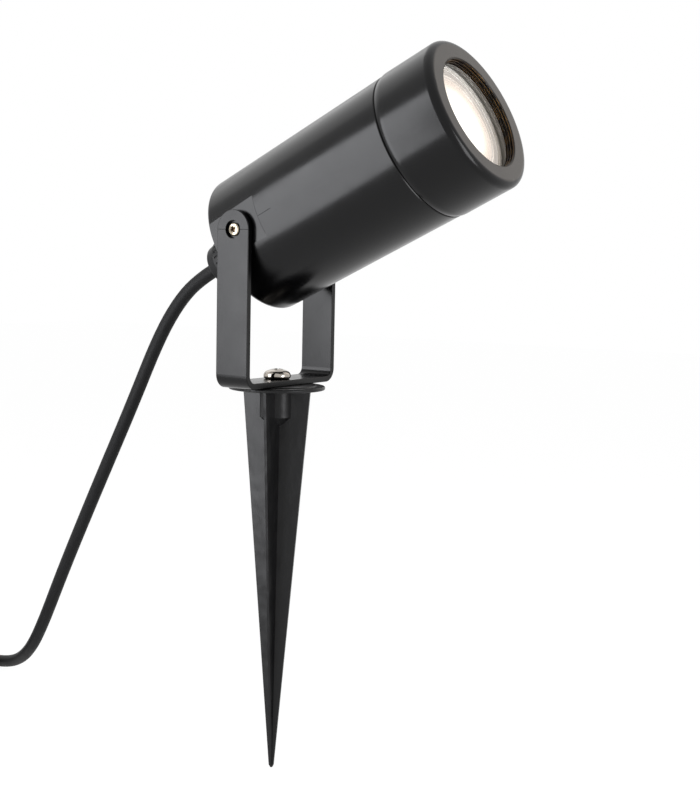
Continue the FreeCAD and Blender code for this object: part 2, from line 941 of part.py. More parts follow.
def earth_lug():
    start, end = earth_post_end, earth_post_end + lug_thickness
    tab_n = -earth_down + lug_d / 2 + 2 * core_d
    plate = rod_s(lug_d, start, end, n=-earth_down).fuse(
        block((start, -0.75 * core_d, -earth_down), (end, 0.75 * core_d, tab_n))
    )
    return plate.cut(rod_s(small_screw_d + 2 * loose_gap, start - 1, end + 1, n=-earth_down))


def earth_screw():
    place = (earth_post_end + lug_thickness, 0, -earth_down)
    return small_screw(place, (1, 0, 0), small_screw_length - blind_end)


# ---------------------------------------------------------------- head: gland
def gland_seal():
    return ring(gland_hole_d, gland_seal_d, rear_s - gland_seal_thickness, rear_s)


def gland_body():
    thread_d = gland_hole_d - 2 * thread_gap
    inner_end = rear_inside_s + locknut_thickness + thread_past
    body = rod_s(thread_d, barrel_end_s, inner_end).fuse(
        hexagon(gland_flats, hex_end_s, rear_s - gland_seal_thickness)
    )
    return body.cut(
        [
            rod_s(gland_bore_d, barrel_end_s - 1, inner_end + 1),
            rod_s(
                sleeve_d + 2 * thread_gap, barrel_end_s - 1, barrel_end_s + sleeve_in_barrel
            ),
        ]
    )


def gland_locknut():
    nut = hexagon(locknut_flats, rear_inside_s, rear_inside_s + locknut_thickness)
    return nut.cut(rod_s(gland_hole_d, rear_inside_s - 1, rear_inside_s + locknut_thickness + 1))


def gland_sleeve():
    end = barrel_end_s + sleeve_in_barrel
    return ring(cable_d, sleeve_d, end - sleeve_length, end)


def gland_nut():
    r, end_r = nut_d / 2, nut_end_d / 2
    thread_r = gland_hole_d / 2
    sleeve_out = barrel_end_s + sleeve_in_barrel - sleeve_length
    band_start = nut_end_s + nut_band
    hole_r = cable_d / 2 + loose_gap
    nut = turned(
        (nut_end_s, hole_r + nut_edge),
        (nut_end_s, end_r - nut_end_r),
        corner((nut_end_s + nut_end_r, end_r - nut_end_r), nut_end_r, 180, 90),
        (band_start - nut_edge, r - nut_band_step),
        (band_start, r - nut_band_step),
        (band_start, r),
        (nut_start_s - nut_edge, r),
        (nut_start_s, r - nut_edge),
        (nut_start_s, thread_r),
        (barrel_end_s - barrel_gap, thread_r),
        (barrel_end_s - barrel_gap, sleeve_d / 2 + thread_gap),
        (sleeve_out, sleeve_d / 2 + thread_gap),
        (sleeve_out, hole_r),
        (nut_end_s + nut_edge, hole_r),
    )
    flutes = []
    for k in range(nut_flutes):
        a = 2 * math.pi * (k + 0.5) / nut_flutes
        y, n = r * math.cos(a), r * math.sin(a)
        flutes.append(rod_s(2 * nut_flute_r, band_start + 0.8, nut_start_s + 1, y, n))
    return nut.cut(flutes)


def cable_tail():
    return rod_s(cable_d, nut_end_s, tail_end_s)


# ---------------------------------------------------------------- bracket
def bracket():
    inner_top = base_z + bar_thickness
    outer_r = bend_r + bar_thickness
    y1, y0 = arm_outer_y, arm_inner_y
    top = pivot_height + bar_width
    half = bar_width / 2

    def at(y, z):
        return Vector(-half, y, z)

    def bend(side, radius, y_centre, z_centre, start, end):
        points = []
        for a in (start, (start + end) / 2, end):
            a = math.radians(a)
            points.append(at(side * (y_centre + radius * math.cos(a)), z_centre + radius * math.sin(a)))
        return points

    centre_y, centre_z = y0 - bend_r, inner_top + bend_r
    outer_right = bend(1, outer_r, centre_y, centre_z, -90, 0)
    inner_right = bend(1, bend_r, centre_y, centre_z, 0, -90)
    inner_left = bend(-1, bend_r, centre_y, centre_z, -90, 0)
    outer_left = bend(-1, outer_r, centre_y, centre_z, 0, -90)
    edges = []
    stretches = [outer_right, [at(y1, top)], [at(y0, top)], inner_right]
    stretches += [inner_left, [at(-y0, top)], [at(-y1, top)], outer_left]
    here = None
    for stretch in stretches:
        if here is not None:
            edges.append(Part.LineSegment(here, stretch[0]).toShape())
        if len(stretch) == 3:
            edges.append(Part.Arc(*stretch).toShape())
        here = stretch[-1]
    edges.append(Part.LineSegment(here, outer_right[0]).toShape())
    bar = Part.Face(Part.Wire(edges)).extrude(Vector(bar_width, 0, 0))
    side_view = outline(
        (-half, base_z - 1),
        (half, base_z - 1),
        (half, pivot_height),
        ((0, pivot_height + half), (-half, pivot_height)),
    )
    reach = 2 * arm_outer_y
    side_view.translate(Vector(0, -reach / 2, 0))
    bar = bar.common(side_view.extrude(Vector(0, reach, 0)))
    rounded = [e for e in bar.Edges if abs(e.BoundBox.XLength) < bar_width - 0.01]
    bar = bar.makeFillet(bar_edge_r, rounded)
    cuts = [Part.makeCylinder(bolt_d / 2 + running_gap, 2 * bar_thickness, Vector(0, 0, base_z - 1))]
    for side in (-1, 1):
        cuts.append(
            Part.makeCylinder(
                pivot_hole_d / 2, 2 * bar_thickness, Vector(0, side * (arm_inner_y - 1), pivot_height),
                Vector(0, side, 0),
            )
        )
        cuts.append(
            Part.makeCylinder(
                pivot_recess_d / 2,
                bar_thickness,
                Vector(0, side * (arm_outer_y - pivot_recess_depth), pivot_height),
                Vector(0, side, 0),
            )
        )
    return bar.cut(cuts)


def pivot_washers():
    washers = []
    for side in (-1, 1):
        disc = Part.makeCylinder(
            washer_d / 2, washer_thickness, Vector(0, side * pad_y, 0), Vector(0, side, 0)
        )
        hole = Part.makeCylinder(
            pivot_hole_d / 2, washer_thickness + 2, Vector(0, side * (pad_y - 1), 0), Vector(0, side, 0)
        )
        washers.append(disc.cut(hole))
    return Part.makeCompound(washers)


def pivot_screws():
    """Pan screws with a plain shoulder, on which the arms turn."""
    floor_y = arm_outer_y - pivot_recess_depth
    shoulder_d = pivot_hole_d - 2 * running_gap
    shoulder = floor_y - pad_y
    screws = []
    for side in (-1, 1):
        screw = pan_screw(small_screw_d, shoulder + small_screw_length, small_head_d, pivot_head_height)
        screw = screw.fuse(Part.makeCylinder(shoulder_d / 2, shoulder, Vector(0, 0, -shoulder)))
        screws.append(aim(screw, (0, side * floor_y, 0), (0, side, 0)))
    return Part.makeCompound(screws)


# ---------------------------------------------------------------- spike and bolt
def pan_bolt():
    screw = pan_screw(bolt_d, bolt_length, bolt_head_d, bolt_head_height)
    screw.translate(Vector(0, 0, base_z + bar_thickness))
    return screw


def threaded_insert():
    start = base_z - insert_length
    outer = Part.makeCylinder(insert_d / 2, insert_length, Vector(0, 0, start))
    return outer.cut(
        Part.makeCylinder(bolt_d / 2 + thread_gap, insert_length + 2, Vector(0, 0, start - 1))
    )


def spike():
    ribs = cross_bar(
        (0, rib_span, rib_edge, rib_valley),
        (floor_z + tip_length, tip_span, tip_edge, tip_valley),
        (floor_z, tip_share * tip_span, tip_share * tip_edge, tip_share * tip_valley),
    )
    ribs.rotate(Vector(0, 0, 0), AXIS_Z, rib_turn)
    flange_r, boss_r, e = flange_d / 2, boss_d / 2, flange_edge_r
    flange = turned(
        (0, -boss_length - boss_cone),
        (boss_r - boss_cone, -boss_length - boss_cone),
        (boss_r, -boss_length),
        (boss_r, 0),
        (flange_r - e, 0),
        corner((flange_r - e, e), e, -90, 0),
        (flange_r, flange_thickness - e),
        corner((flange_r - e, flange_thickness - e), e, 0, 90),
        (pad_d / 2 + pad_height, flange_thickness),
        (pad_d / 2, base_z),
        (0, base_z),
        axis=AXIS_Z,
    )
    body = ribs.fuse(flange)
    return body.cut(
        [
            Part.makeCylinder(insert_d / 2, insert_length + 1, Vector(0, 0, base_z - insert_length)),
            Part.makeCylinder(
                bolt_d / 2 + loose_gap, bolt_hole_depth + base_z, Vector(0, 0, -bolt_hole_depth)
            ),
        ]
    )


# ---------------------------------------------------------------- free cable
def route_points():
    """Points of the free stretch, from the gland's mouth to the coil."""
    first = [head_point(nut_end_s), head_point(nut_end_s - cable_first_run)]
    laid = [Vector(*p) for p in cable_route]
    last = [Vector(coil_start[0] + run, coil_start[1], coil_z) for run in (cable_last_run, 0)]
    return first + laid + last


def coil_outer_r():
    return coil_inner_r + coil_pitch * turns_in


def coil_start_angle():
    """Round the coil's centre from +X. The spiral's lean makes the lead point along -X."""
    return math.pi / 2 - math.atan(coil_pitch / (2 * math.pi * coil_outer_r()))


def coil_centre():
    """The coil turns anticlockwise from its start, which is straight for one diameter."""
    a = coil_start_angle()
    out = Vector(math.cos(a), math.sin(a), 0)
    return Vector(coil_start[0] - cable_d, coil_start[1], 0) - out * coil_outer_r()


def coil_place(turn):
    """Radius, height and their rates at a turn count from the coil's start: in along
    the lower layer, up along a short climb, and out again along the upper layer."""
    rate = coil_pitch
    if turn <= turns_in:
        return coil_outer_r() - rate * turn, coil_z, -rate, 0.0
    if turn >= turns_in + climb_turns:
        r = coil_inner_r + rate * (turn - turns_in - climb_turns)
        return r, coil_z + coil_pitch, rate, 0.0
    share = (turn - turns_in) / climb_turns
    dip = rate * 0.25 * (1 - abs(2 * share - 1))
    height = coil_pitch * share * share * (3 - 2 * share)
    climb = coil_pitch * 6 * share * (1 - share) / climb_turns
    slope = 0.0 if abs(share - 0.5) < 1e-6 else math.copysign(rate, share - 0.5)
    return coil_inner_r - dip, coil_z + height, slope, climb


def coil_node(turn):
    """A point of the coil's middle line and the direction there."""
    r, z, dr, dz = coil_place(turn)
    angle = coil_start_angle() + 2 * math.pi * turn
    out = Vector(math.cos(angle), math.sin(angle), 0)
    along = Vector(-math.sin(angle), math.cos(angle), 0)
    centre = coil_centre()
    point = centre + out * r + Vector(0, 0, z)
    direction = along * (2 * math.pi * r) + out * dr + Vector(0, 0, dz)
    return point, direction.normalize()


def coil_edges():
    """Biarcs of a quarter turn each, with a straight lead of one diameter at each end."""
    count = round(4 * coil_turns)
    nodes = [coil_node(k / 4) for k in range(count + 1)]
    start, direction = nodes[0]
    edges = [Part.LineSegment(start - direction * cable_d, start).toShape()]
    for (p0, t0), (p1, t1) in zip(nodes, nodes[1:]):
        edges += biarc(p0, t0, p1, t1)
    end, direction = nodes[-1]
    edges.append(Part.LineSegment(end, end + direction * cable_d).toShape())
    return edges


def least_self_gap(edges, diameter, step):
    """The least gap between stretches of a tube that are over a third of a turn apart."""
    points = []
    travelled = 0.0
    for edge in edges:
        count = max(2, round(edge.Length / step))
        for k in range(count):
            share = k / count
            span = edge.LastParameter - edge.FirstParameter
            place = edge.valueAt(edge.FirstParameter + share * span)
            points.append((travelled + share * edge.Length, place))
        travelled += edge.Length
    apart = 2 * math.pi * coil_inner_r / 3
    least = min(
        (p - q).Length for i, (d0, p) in enumerate(points) for d1, q in points[i:] if d1 - d0 > apart
    )
    return least - diameter


def coil_tie():
    """A flat band pulled round the turns that pass its place."""
    start = coil_start_angle()
    first = (math.radians(tie_angle) - start) / (2 * math.pi) % 1
    passes = [coil_place(first + k) for k in range(math.ceil(coil_turns - first))]
    lower = [r for r, z, _, _ in passes if z < coil_z + 0.01]
    upper = [r for r, z, _, _ in passes if z > coil_z + coil_pitch - 0.01]
    corners = [
        Vector(min(lower), 0, coil_z),
        Vector(max(lower), 0, coil_z),
        Vector(max(upper), 0, coil_z + coil_pitch),
        Vector(min(upper), 0, coil_z + coil_pitch),
    ]
    inside = Part.makePolygon(corners + corners[:1])
    outlines = []
    for extra in (tie_gap, tie_gap + tie_thickness):
        outlines.append(Part.Face(inside.makeOffset2D(cable_d / 2 + extra)))
    band = outlines[1].cut(outlines[0]).extrude(Vector(0, tie_width, 0))
    band.translate(Vector(0, -tie_width / 2, 0))
    band.rotate(Vector(0, 0, 0), AXIS_Z, tie_angle)
    band.translate(coil_centre())
    return band


def cable_end():
    """Where the sheath ends, and which way the cores leave it."""
    point, direction = coil_node(coil_turns)
    return point + direction * cable_d, direction


def end_core(index):
    place, direction = cable_end()
    side = direction.cross(AXIS_Z)
    y, n = core_places()[index]
    start = place + side * y + AXIS_Z * n
    return Part.makeCylinder(core_d / 2, end_core_length - ferrule_length, start, direction)


def end_ferrules():
    place, direction = cable_end()
    side = direction.cross(AXIS_Z)
    ferrules = []
    for y, n in core_places():
        spread = 1 + ferrule_spread / core_offset
        start = place + side * (y * spread) + AXIS_Z * (n * spread)
        start += direction * (end_core_length - ferrule_length)
        collar = Part.makeCylinder(ferrule_d / 2, ferrule_length, start, direction)
        pipe = Part.makeCylinder(
            ferrule_tube_d / 2, ferrule_length + ferrule_tube_length, start, direction
        )
        ferrules.append(collar.fuse(pipe))
    return Part.makeCompound(ferrules)


# ---------------------------------------------------------------- all pieces
def head_pieces():
    pieces = {
        "housing": housing(),
        "front_bezel": front_bezel(),
        "front_glass": front_glass(),
        "glass_gasket": glass_gasket(),
        "neck_o_ring": neck_o_ring(),
        "lamp_shell": lamp_shell(),
        "lamp_lens": lamp_lens(),
        "lamp_led_board": lamp_led_board(),
        "led_chips": led_chips(),
        "lamp_driver_board": lamp_driver_board(),
        "lamp_pins": lamp_pins(),
        "lamp_holder": lamp_holder(),
        "holder_contacts": holder_contacts(),
        "holder_rivets": holder_rivets(),
        "holder_strip": holder_strip(),
        "strip_screws": strip_screws(),
        "terminal_block": terminal_block(),
        "terminal_screws": terminal_screws(),
        "terminal_fixing_screw": terminal_fixing_screw(),
        "tail_core_live": tail_core(0),
        "tail_core_neutral": tail_core(1),
        "tail_core_earth": tail_core(2),
        "holder_wire_live": holder_wire(-1),
        "holder_wire_neutral": holder_wire(1),
        "earth_wire": earth_wire(),
        "earth_lug": earth_lug(),
        "earth_screw": earth_screw(),
        "gland_seal": gland_seal(),
        "gland_body": gland_body(),
        "gland_locknut": gland_locknut(),
        "gland_sleeve": gland_sleeve(),
        "gland_nut": gland_nut(),
        "cable_tail": cable_tail(),
        "pivot_washers": pivot_washers(),
        "pivot_screws": pivot_screws(),
    }
    return {name: set_in_head(shape) for name, shape in pieces.items()}


def all_pieces():
    pieces = head_pieces()
    pieces["bracket"] = bracket()
    pieces["pan_bolt"] = pan_bolt()
    pieces["threaded_insert"] = threaded_insert()
    pieces["spike"] = spike()
    route_edges, radii = bent_path(route_points())
    wound = coil_edges()
    pieces["cable"] = tube(route_edges, cable_d)
    pieces["cable_coil"] = tube(wound, cable_d)
    pieces["coil_tie"] = coil_tie()
    pieces["end_core_live"] = end_core(0)
    pieces["end_core_neutral"] = end_core(1)
    pieces["end_core_earth"] = end_core(2)
    pieces["end_ferrules"] = end_ferrules()
    report_cable(pieces, route_edges, radii, wound)
    return pieces


def report_cable(pieces, route_edges, radii, wound):
    """Prints the cable's lengths, radii, volumes and least gap."""
    section = math.pi * cable_d**2 / 4
    free = sum(e.Length for e in route_edges)
    coiled = sum(e.Length for e in wound)
    print("cable arcs' radii", [round(r, 1) for r in radii])
    print("free stretch %.1f, coil %.1f, total %.1f of %.1f" % (free, coiled, free + coiled, cable_length))
    for name, length in (("cable", free), ("cable_coil", coiled)):
        print(name, "volume over section times length %.5f" % (pieces[name].Volume / section / length))
    print("coil's least gap to itself %.2f" % least_self_gap(wound, cable_d, 3.0))


def main():
    os.makedirs("parts", exist_ok=True)
    for name, shape in all_pieces().items():
        if not shape.isValid():
            print("not valid:", name)
        shape.exportStep("parts/%s.step" % name)


main()
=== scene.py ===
import math

import bpy
from mathutils import Matrix, Vector


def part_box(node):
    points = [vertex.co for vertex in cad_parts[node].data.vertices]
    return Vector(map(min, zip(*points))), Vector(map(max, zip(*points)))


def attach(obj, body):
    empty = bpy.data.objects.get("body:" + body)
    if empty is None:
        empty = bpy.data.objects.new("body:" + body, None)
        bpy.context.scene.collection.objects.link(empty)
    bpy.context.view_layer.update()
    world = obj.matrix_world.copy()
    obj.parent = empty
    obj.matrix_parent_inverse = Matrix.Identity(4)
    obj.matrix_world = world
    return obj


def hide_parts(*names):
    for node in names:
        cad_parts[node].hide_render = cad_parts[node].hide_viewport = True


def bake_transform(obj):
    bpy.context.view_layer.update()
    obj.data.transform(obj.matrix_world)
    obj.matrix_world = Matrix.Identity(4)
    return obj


# Looks of the garden spike spotlight. Everything is in metres, in the part's own frame:
# +Z is up, +X is the way the head points, and the origin is on the spike's axis at the
# underside of its flange. A station is a distance along the head's optical axis from the
# pivot, and names that end in _S hold one.

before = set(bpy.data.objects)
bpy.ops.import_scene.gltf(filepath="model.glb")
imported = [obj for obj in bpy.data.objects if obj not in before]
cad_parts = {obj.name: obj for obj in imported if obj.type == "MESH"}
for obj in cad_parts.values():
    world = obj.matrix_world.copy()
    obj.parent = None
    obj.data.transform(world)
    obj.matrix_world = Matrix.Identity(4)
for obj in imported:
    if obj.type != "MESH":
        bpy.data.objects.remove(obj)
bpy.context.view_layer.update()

MM = 0.001
HEAD_TILT = math.radians(26)
PIVOT = Vector((0, 0, 68 * MM))
HEAD_AXIS = Vector((math.cos(HEAD_TILT), 0, math.sin(HEAD_TILT)))
HEAD_UP = Vector((-math.sin(HEAD_TILT), 0, math.cos(HEAD_TILT)))
SIDE = Vector((0, 1, 0))
UP = Vector((0, 0, 1))
FLOOR_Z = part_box("spike")[0].z


def head_point(station):
    """The point of the head's axis at a station."""
    return PIVOT + HEAD_AXIS * station


# ---------------------------------------------------------------- camera
CAMERA_PLACE = Vector((0.34774, -0.47518, 0.05624))
CAMERA_RIGHT = Vector((0.8365, 0.5476, 0.0205))
CAMERA_BACK = Vector((0.5431, -0.8334, 0.1022))
FOCAL_PX = 1357.7
PICTURE_HEIGHT_PX = 800
SENSOR_WIDTH = 36       # millimetres, along the picture's longer side, its height
CLIP_START = 0.01


def make_camera():
    data = bpy.data.cameras.new("camera")
    data.sensor_width = SENSOR_WIDTH
    data.lens = FOCAL_PX / PICTURE_HEIGHT_PX * SENSOR_WIDTH
    data.clip_start = CLIP_START
    camera = bpy.data.objects.new("camera", data)
    bpy.context.scene.collection.objects.link(camera)
    back = CAMERA_BACK.normalized()
    right = (CAMERA_RIGHT - back * CAMERA_RIGHT.dot(back)).normalized()
    turn = Matrix((right, back.cross(right), back)).transposed()
    camera.matrix_world = Matrix.Translation(CAMERA_PLACE) @ turn.to_4x4()
    bpy.context.scene.camera = camera


make_camera()


# ---------------------------------------------------------------- meshes
def mesh_object(name, points, faces):
    mesh = bpy.data.meshes.new(name)
    mesh.from_pydata([tuple(p) for p in points], [], faces)
    mesh.validate()
    mesh.update()
    thing = bpy.data.objects.new(name, mesh)
    bpy.context.scene.collection.objects.link(thing)
    return thing


def smooth(thing, sharp_from):
    """Shades a piece smooth, apart from edges sharper than an angle in degrees."""
    thing.data.shade_smooth()
    thing.data.set_sharp_from_angle(angle=math.radians(sharp_from))


# ---------------------------------------------------------------- cable
CABLE_D = 6.2 * MM
GLAND_MOUTH_S = -35.5 * MM
FIRST_RUN = 12 * MM
COIL_START = (-226.0 * MM, 28.5 * MM)
LAST_RUN = 18.3 * MM
COIL_Z = -166.05 * MM
COIL_INNER_R = 26.45 * MM
COIL_PITCH = 6.65 * MM
TURNS_IN = 2.75
CLIMB_TURNS = 0.5
TURNS_OUT = 2.25
POINTS_PER_TURN = 24
LINE_STEPS = 5          # of the smooth line for each of its control points
TUBE_SIDES = 24
TUBE_SHARP_FROM = 40    # degrees between the faces of a sharp edge

# The same points as the solid cable's, in metres.
CABLE_ROUTE = [
    (-0.0550, 0.0000, 0.0370),
    (-0.0676, 0.0000, 0.0193),
    (-0.0835, -0.0005, -0.0132),
    (-0.1070, 0.0006, -0.0555),
    (-0.1326, 0.0046, -0.0983),
    (-0.1555, 0.0110, -0.1347),
    (-0.1715, 0.0175, -0.1516),
    (-0.1893, 0.0248, -0.1618),
]


def coil_points():
    """Control points of the coil: in along the lower layer, a climb of half a turn, and
    out along the upper layer. The spline runs a little inside its control points."""
    outer_r = COIL_INNER_R + COIL_PITCH * TURNS_IN
    start = math.pi / 2 - math.atan(COIL_PITCH / (2 * math.pi * outer_r))
    centre_x = COIL_START[0] - CABLE_D - outer_r * math.cos(start)
    centre_y = COIL_START[1] - outer_r * math.sin(start)
    widen = 1 / (0.75 + 0.25 * math.cos(2 * math.pi / POINTS_PER_TURN))
    total = TURNS_IN + CLIMB_TURNS + TURNS_OUT
    points = []
    for k in range(round(total * POINTS_PER_TURN) + 1):
        turn = k / POINTS_PER_TURN
        if turn <= TURNS_IN:
            r, z = outer_r - COIL_PITCH * turn, COIL_Z
        elif turn < TURNS_IN + CLIMB_TURNS:
            share = (turn - TURNS_IN) / CLIMB_TURNS
            r = COIL_INNER_R - COIL_PITCH / 4 * (1 - abs(2 * share - 1))
            z = COIL_Z + COIL_PITCH * share * share * (3 - 2 * share)
        else:
            r = COIL_INNER_R + COIL_PITCH * (turn - TURNS_IN - CLIMB_TURNS)
            z = COIL_Z + COIL_PITCH
        angle = start + 2 * math.pi * turn
        r *= widen
        points.append(Vector((centre_x + r * math.cos(angle), centre_y + r * math.sin(angle), z)))
    ahead = (points[-1] - points[-2]).normalized()
    return points + [points[-1] + ahead * CABLE_D]


def nurbs_line(name, points):
    """The smooth line that has these control points, as a list of close points."""
    data = bpy.data.curves.new(name, "CURVE")
    data.dimensions = "3D"
    data.resolution_u = LINE_STEPS
    spline = data.splines.new("NURBS")
    spline.points.add(len(points) - 1)
    for point, place in zip(spline.points, points):
        point.co = (*place, 1)
    spline.order_u = 3
    spline.use_endpoint_u = True
    curve = bpy.data.objects.new(name, data)
    bpy.context.scene.collection.objects.link(curve)
    line = bpy.data.meshes.new_from_object(curve)
    places = [v.co.copy() for v in line.vertices]
    bpy.data.objects.remove(curve)
    bpy.data.meshes.remove(line)
    return places


def tube(name, line, diameter, sides):
    """A closed round tube whose ring centres are the line's points."""
    runs = [(b - a).normalized() for a, b in zip(line, line[1:])]
    joins = [(a + b).normalized() for a, b in zip(runs, runs[1:])]
    across = runs[0].orthogonal().normalized()
    points, faces = [], []
    for place, direction in zip(line, [runs[0], *joins, runs[-1]]):
        across = (across - direction * across.dot(direction)).normalized()
        other = direction.cross(across)
        for k in range(sides):
            a = 2 * math.pi * k / sides
            points.append(place + (across * math.cos(a) + other * math.sin(a)) * diameter / 2)
    for ring in range(len(line) - 1):
        for k in range(sides):
            a, b = ring * sides + k, ring * sides + (k + 1) % sides
            faces.append((a, b, b + sides, a + sides))
    last = (len(line) - 1) * sides
    faces.append(tuple(range(sides))[::-1])
    faces.append(tuple(range(last, last + sides)))
    made = mesh_object(name, points, faces)
    smooth(made, TUBE_SHARP_FROM)
    return made


def make_cable():
    first = [head_point(GLAND_MOUTH_S), head_point(GLAND_MOUTH_S - FIRST_RUN)]
    into_coil = [Vector((COIL_START[0] + run, COIL_START[1], COIL_Z)) for run in (LAST_RUN, 0)]
    route = first + [Vector(p) for p in CABLE_ROUTE] + into_coil + coil_points()
    line = nurbs_line("cable_line", route)
    cable = tube("mains_cable", line, CABLE_D, TUBE_SIDES)
    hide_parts("cable", "cable_coil")
    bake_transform(cable)
    return cable


cable = make_cable()

# ---------------------------------------------------------------- bolt
BOLT_SEAT_Z = 4.5 * MM
BOLT_LENGTH = BOLT_SEAT_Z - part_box("pan_bolt")[0].z
BOLT_R = 3.0 * MM
BOLT_TIP_R = 0.72 * BOLT_R
BOLT_TIP_H = 1.0 * MM           # of the taper at the tip, and of the plain neck
BOLT_SIDES = 64
BOLT_SHARP_FROM = 35            # degrees between the faces of a sharp edge
BOLT_EDGE_R = 0.08 * MM
BOLT_EDGES_FROM = 50            # degrees between the faces of a rounded edge
THREAD_PITCH = 1.0 * MM
THREAD_DEPTH = 0.45 * MM
THREAD_STEPS = 8

BOLT_HEAD_R = 6.0 * MM
BOLT_HEAD_H = 4.3 * MM
RIM_R = 0.3 * BOLT_HEAD_H           # of the round under the head's widest place
SHOULDER_R = 0.56 * BOLT_HEAD_H     # of the round above it
CROWN_FIRST_STEP = 1.5              # degrees from the shoulder to the crown's first ring
CROSS_TURNS = (20, 110)             # degrees about the bolt's axis
CROSS_FLOOR = (0.2 * BOLT_HEAD_R, 0.07 * BOLT_HEAD_R)   # half length and half width
CROSS_MOUTH = (0.5 * BOLT_HEAD_R, 0.11 * BOLT_HEAD_R)
CROSS_DEPTH = 0.55 * BOLT_HEAD_H
CROSS_PAST = 0.1 * BOLT_HEAD_H      # of the cutters above the head


def arc(centre, radius, start, end, steps):
    """Points of an arc of (radius, height), its angles in degrees up from level."""
    angles = [math.radians(start + (end - start) * k / steps) for k in range(steps + 1)]
    return [(centre[0] + radius * math.cos(a), centre[1] + radius * math.sin(a)) for a in angles]


def turned(name, profile, sides, cut):
    """A solid turned about Z from (radius, height) points, between two points on the axis.
    The cut takes a depth off the radius by height and share of a turn."""
    points = [Vector((0, 0, profile[0][1]))]
    for r, z in profile[1:-1]:
        for k in range(sides):
            cut_r = r - cut(z, k / sides)
            a = 2 * math.pi * k / sides
            points.append(Vector((cut_r * math.cos(a), cut_r * math.sin(a), z)))
    points.append(Vector((0, 0, profile[-1][1])))
    rings = len(profile) - 2
    last = 1 + (rings - 1) * sides
    faces = []
    for k in range(sides):
        after = (k + 1) % sides
        faces.append((0, 1 + after, 1 + k))
        for ring in range(rings - 1):
            a, b = 1 + ring * sides + k, 1 + ring * sides + after
            faces.append((a, b, b + sides, a + sides))
        faces.append((last + k, last + after, len(points) - 1))
    return mesh_object(name, points, faces)


def wedge(name, bottom, top, turn):
    """A block that widens upward. Bottom and top are (half length, half width, height)."""
    points = []
    for length, width, z in (bottom, top):
        for x, y in ((-length, -width), (length, -width), (length, width), (-length, width)):
            points.append(Matrix.Rotation(turn, 4, "Z") @ Vector((x, y, z)))
    sides = [(k, (k + 1) % 4, (k + 1) % 4 + 4, k + 4) for k in range(4)]
    return mesh_object(name, points, [(3, 2, 1, 0), (4, 5, 6, 7)] + sides)


def cut_away(piece, cutters):
    """Takes the cutters' volume out of a piece."""
    for cutter in cutters:
        change = piece.modifiers.new("cut", "BOOLEAN")
        change.operation = "DIFFERENCE"
        change.solver = "EXACT"
        change.object = cutter
    evaluated = piece.evaluated_get(bpy.context.evaluated_depsgraph_get())
    piece.data = bpy.data.meshes.new_from_object(evaluated)
    piece.modifiers.clear()
    for cutter in cutters:
        bpy.data.objects.remove(cutter)


def thread_cut(z, turn):
    """Depth of the helical thread, which runs out under the head."""
    phase = ((z - BOLT_SEAT_Z) / THREAD_PITCH - turn) % 1
    below = BOLT_SEAT_Z - THREAD_PITCH - z
    if below < 0:
        return 0
    return THREAD_DEPTH * abs(2 * phase - 1) * min(1, below / THREAD_PITCH)


def shank_profile():
    """The tip, the threaded length and the neck, as (radius, height) points."""
    tip_z = BOLT_SEAT_Z - BOLT_LENGTH
    threaded = BOLT_LENGTH - 2 * BOLT_TIP_H
    steps = round(threaded / THREAD_PITCH * THREAD_STEPS)
    points = [(0, tip_z), (BOLT_TIP_R, tip_z)]
    points += [(BOLT_R, tip_z + BOLT_TIP_H + threaded * k / steps) for k in range(steps + 1)]
    return points + [(BOLT_R, BOLT_SEAT_Z)]


def head_profile():
    """The rim, the shoulder and the flatter crown, as (radius, height) points."""
    crown_r = BOLT_HEAD_R - SHOULDER_R
    crown_rise = BOLT_HEAD_H - RIM_R - SHOULDER_R
    sphere_r = (crown_r**2 + crown_rise**2) / (2 * crown_rise)
    crown_half = math.degrees(math.asin(crown_r / sphere_r))
    widest_z = BOLT_SEAT_Z + RIM_R
    points = [(BOLT_HEAD_R - RIM_R, BOLT_SEAT_Z)]
    points += arc((BOLT_HEAD_R - RIM_R, widest_z), RIM_R, -75, 0, 8)
    points += arc((crown_r, widest_z), SHOULDER_R, 4, 90 - crown_half, 12)
    start = math.degrees(math.acos(points[-1][0] / sphere_r))
    sphere_z = points[-1][1] - sphere_r * math.sin(math.radians(start))
    points += arc((0, sphere_z), sphere_r, start + CROWN_FIRST_STEP, 88, 10)
    return points + [(0, sphere_z + sphere_r)]


def make_bolt():
    """The domed cross-head bolt: a rounded head, a helical thread and a cut cross."""
    profile = shank_profile() + head_profile()
    bolt = turned("spike_bolt", profile, BOLT_SIDES, thread_cut)
    top_z = profile[-1][1]
    floor = (*CROSS_FLOOR, top_z - CROSS_DEPTH)
    mouth = (*CROSS_MOUTH, top_z + CROSS_PAST)
    cut_away(bolt, [wedge("cutter", floor, mouth, math.radians(turn)) for turn in CROSS_TURNS])
    smooth(bolt, BOLT_SHARP_FROM)
    edges = bolt.modifiers.new("edges", "BEVEL")
    edges.width = BOLT_EDGE_R
    edges.segments = 2
    edges.limit_method = "ANGLE"
    edges.angle_limit = math.radians(BOLT_EDGES_FROM)
    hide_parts("pan_bolt")
    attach(bolt, "spike")
    return bolt


bolt = make_bolt()

# ---------------------------------------------------------------- studio
HEAD_MIDDLE_S = 40 * MM
WORLD_LIGHT = 0.2               # on the object; what it shows and mirrors is a full 1
FLOOR_HALF = 3.0
FLOOR_COLOUR = (0.86, 0.86, 0.86)
FLOOR_ROUGHNESS = 0.7
FLOOR_GLOW = 1.12
FLOOR_GLOW_SHARE = 0.85         # where seen directly; the rest keeps the object's shadow

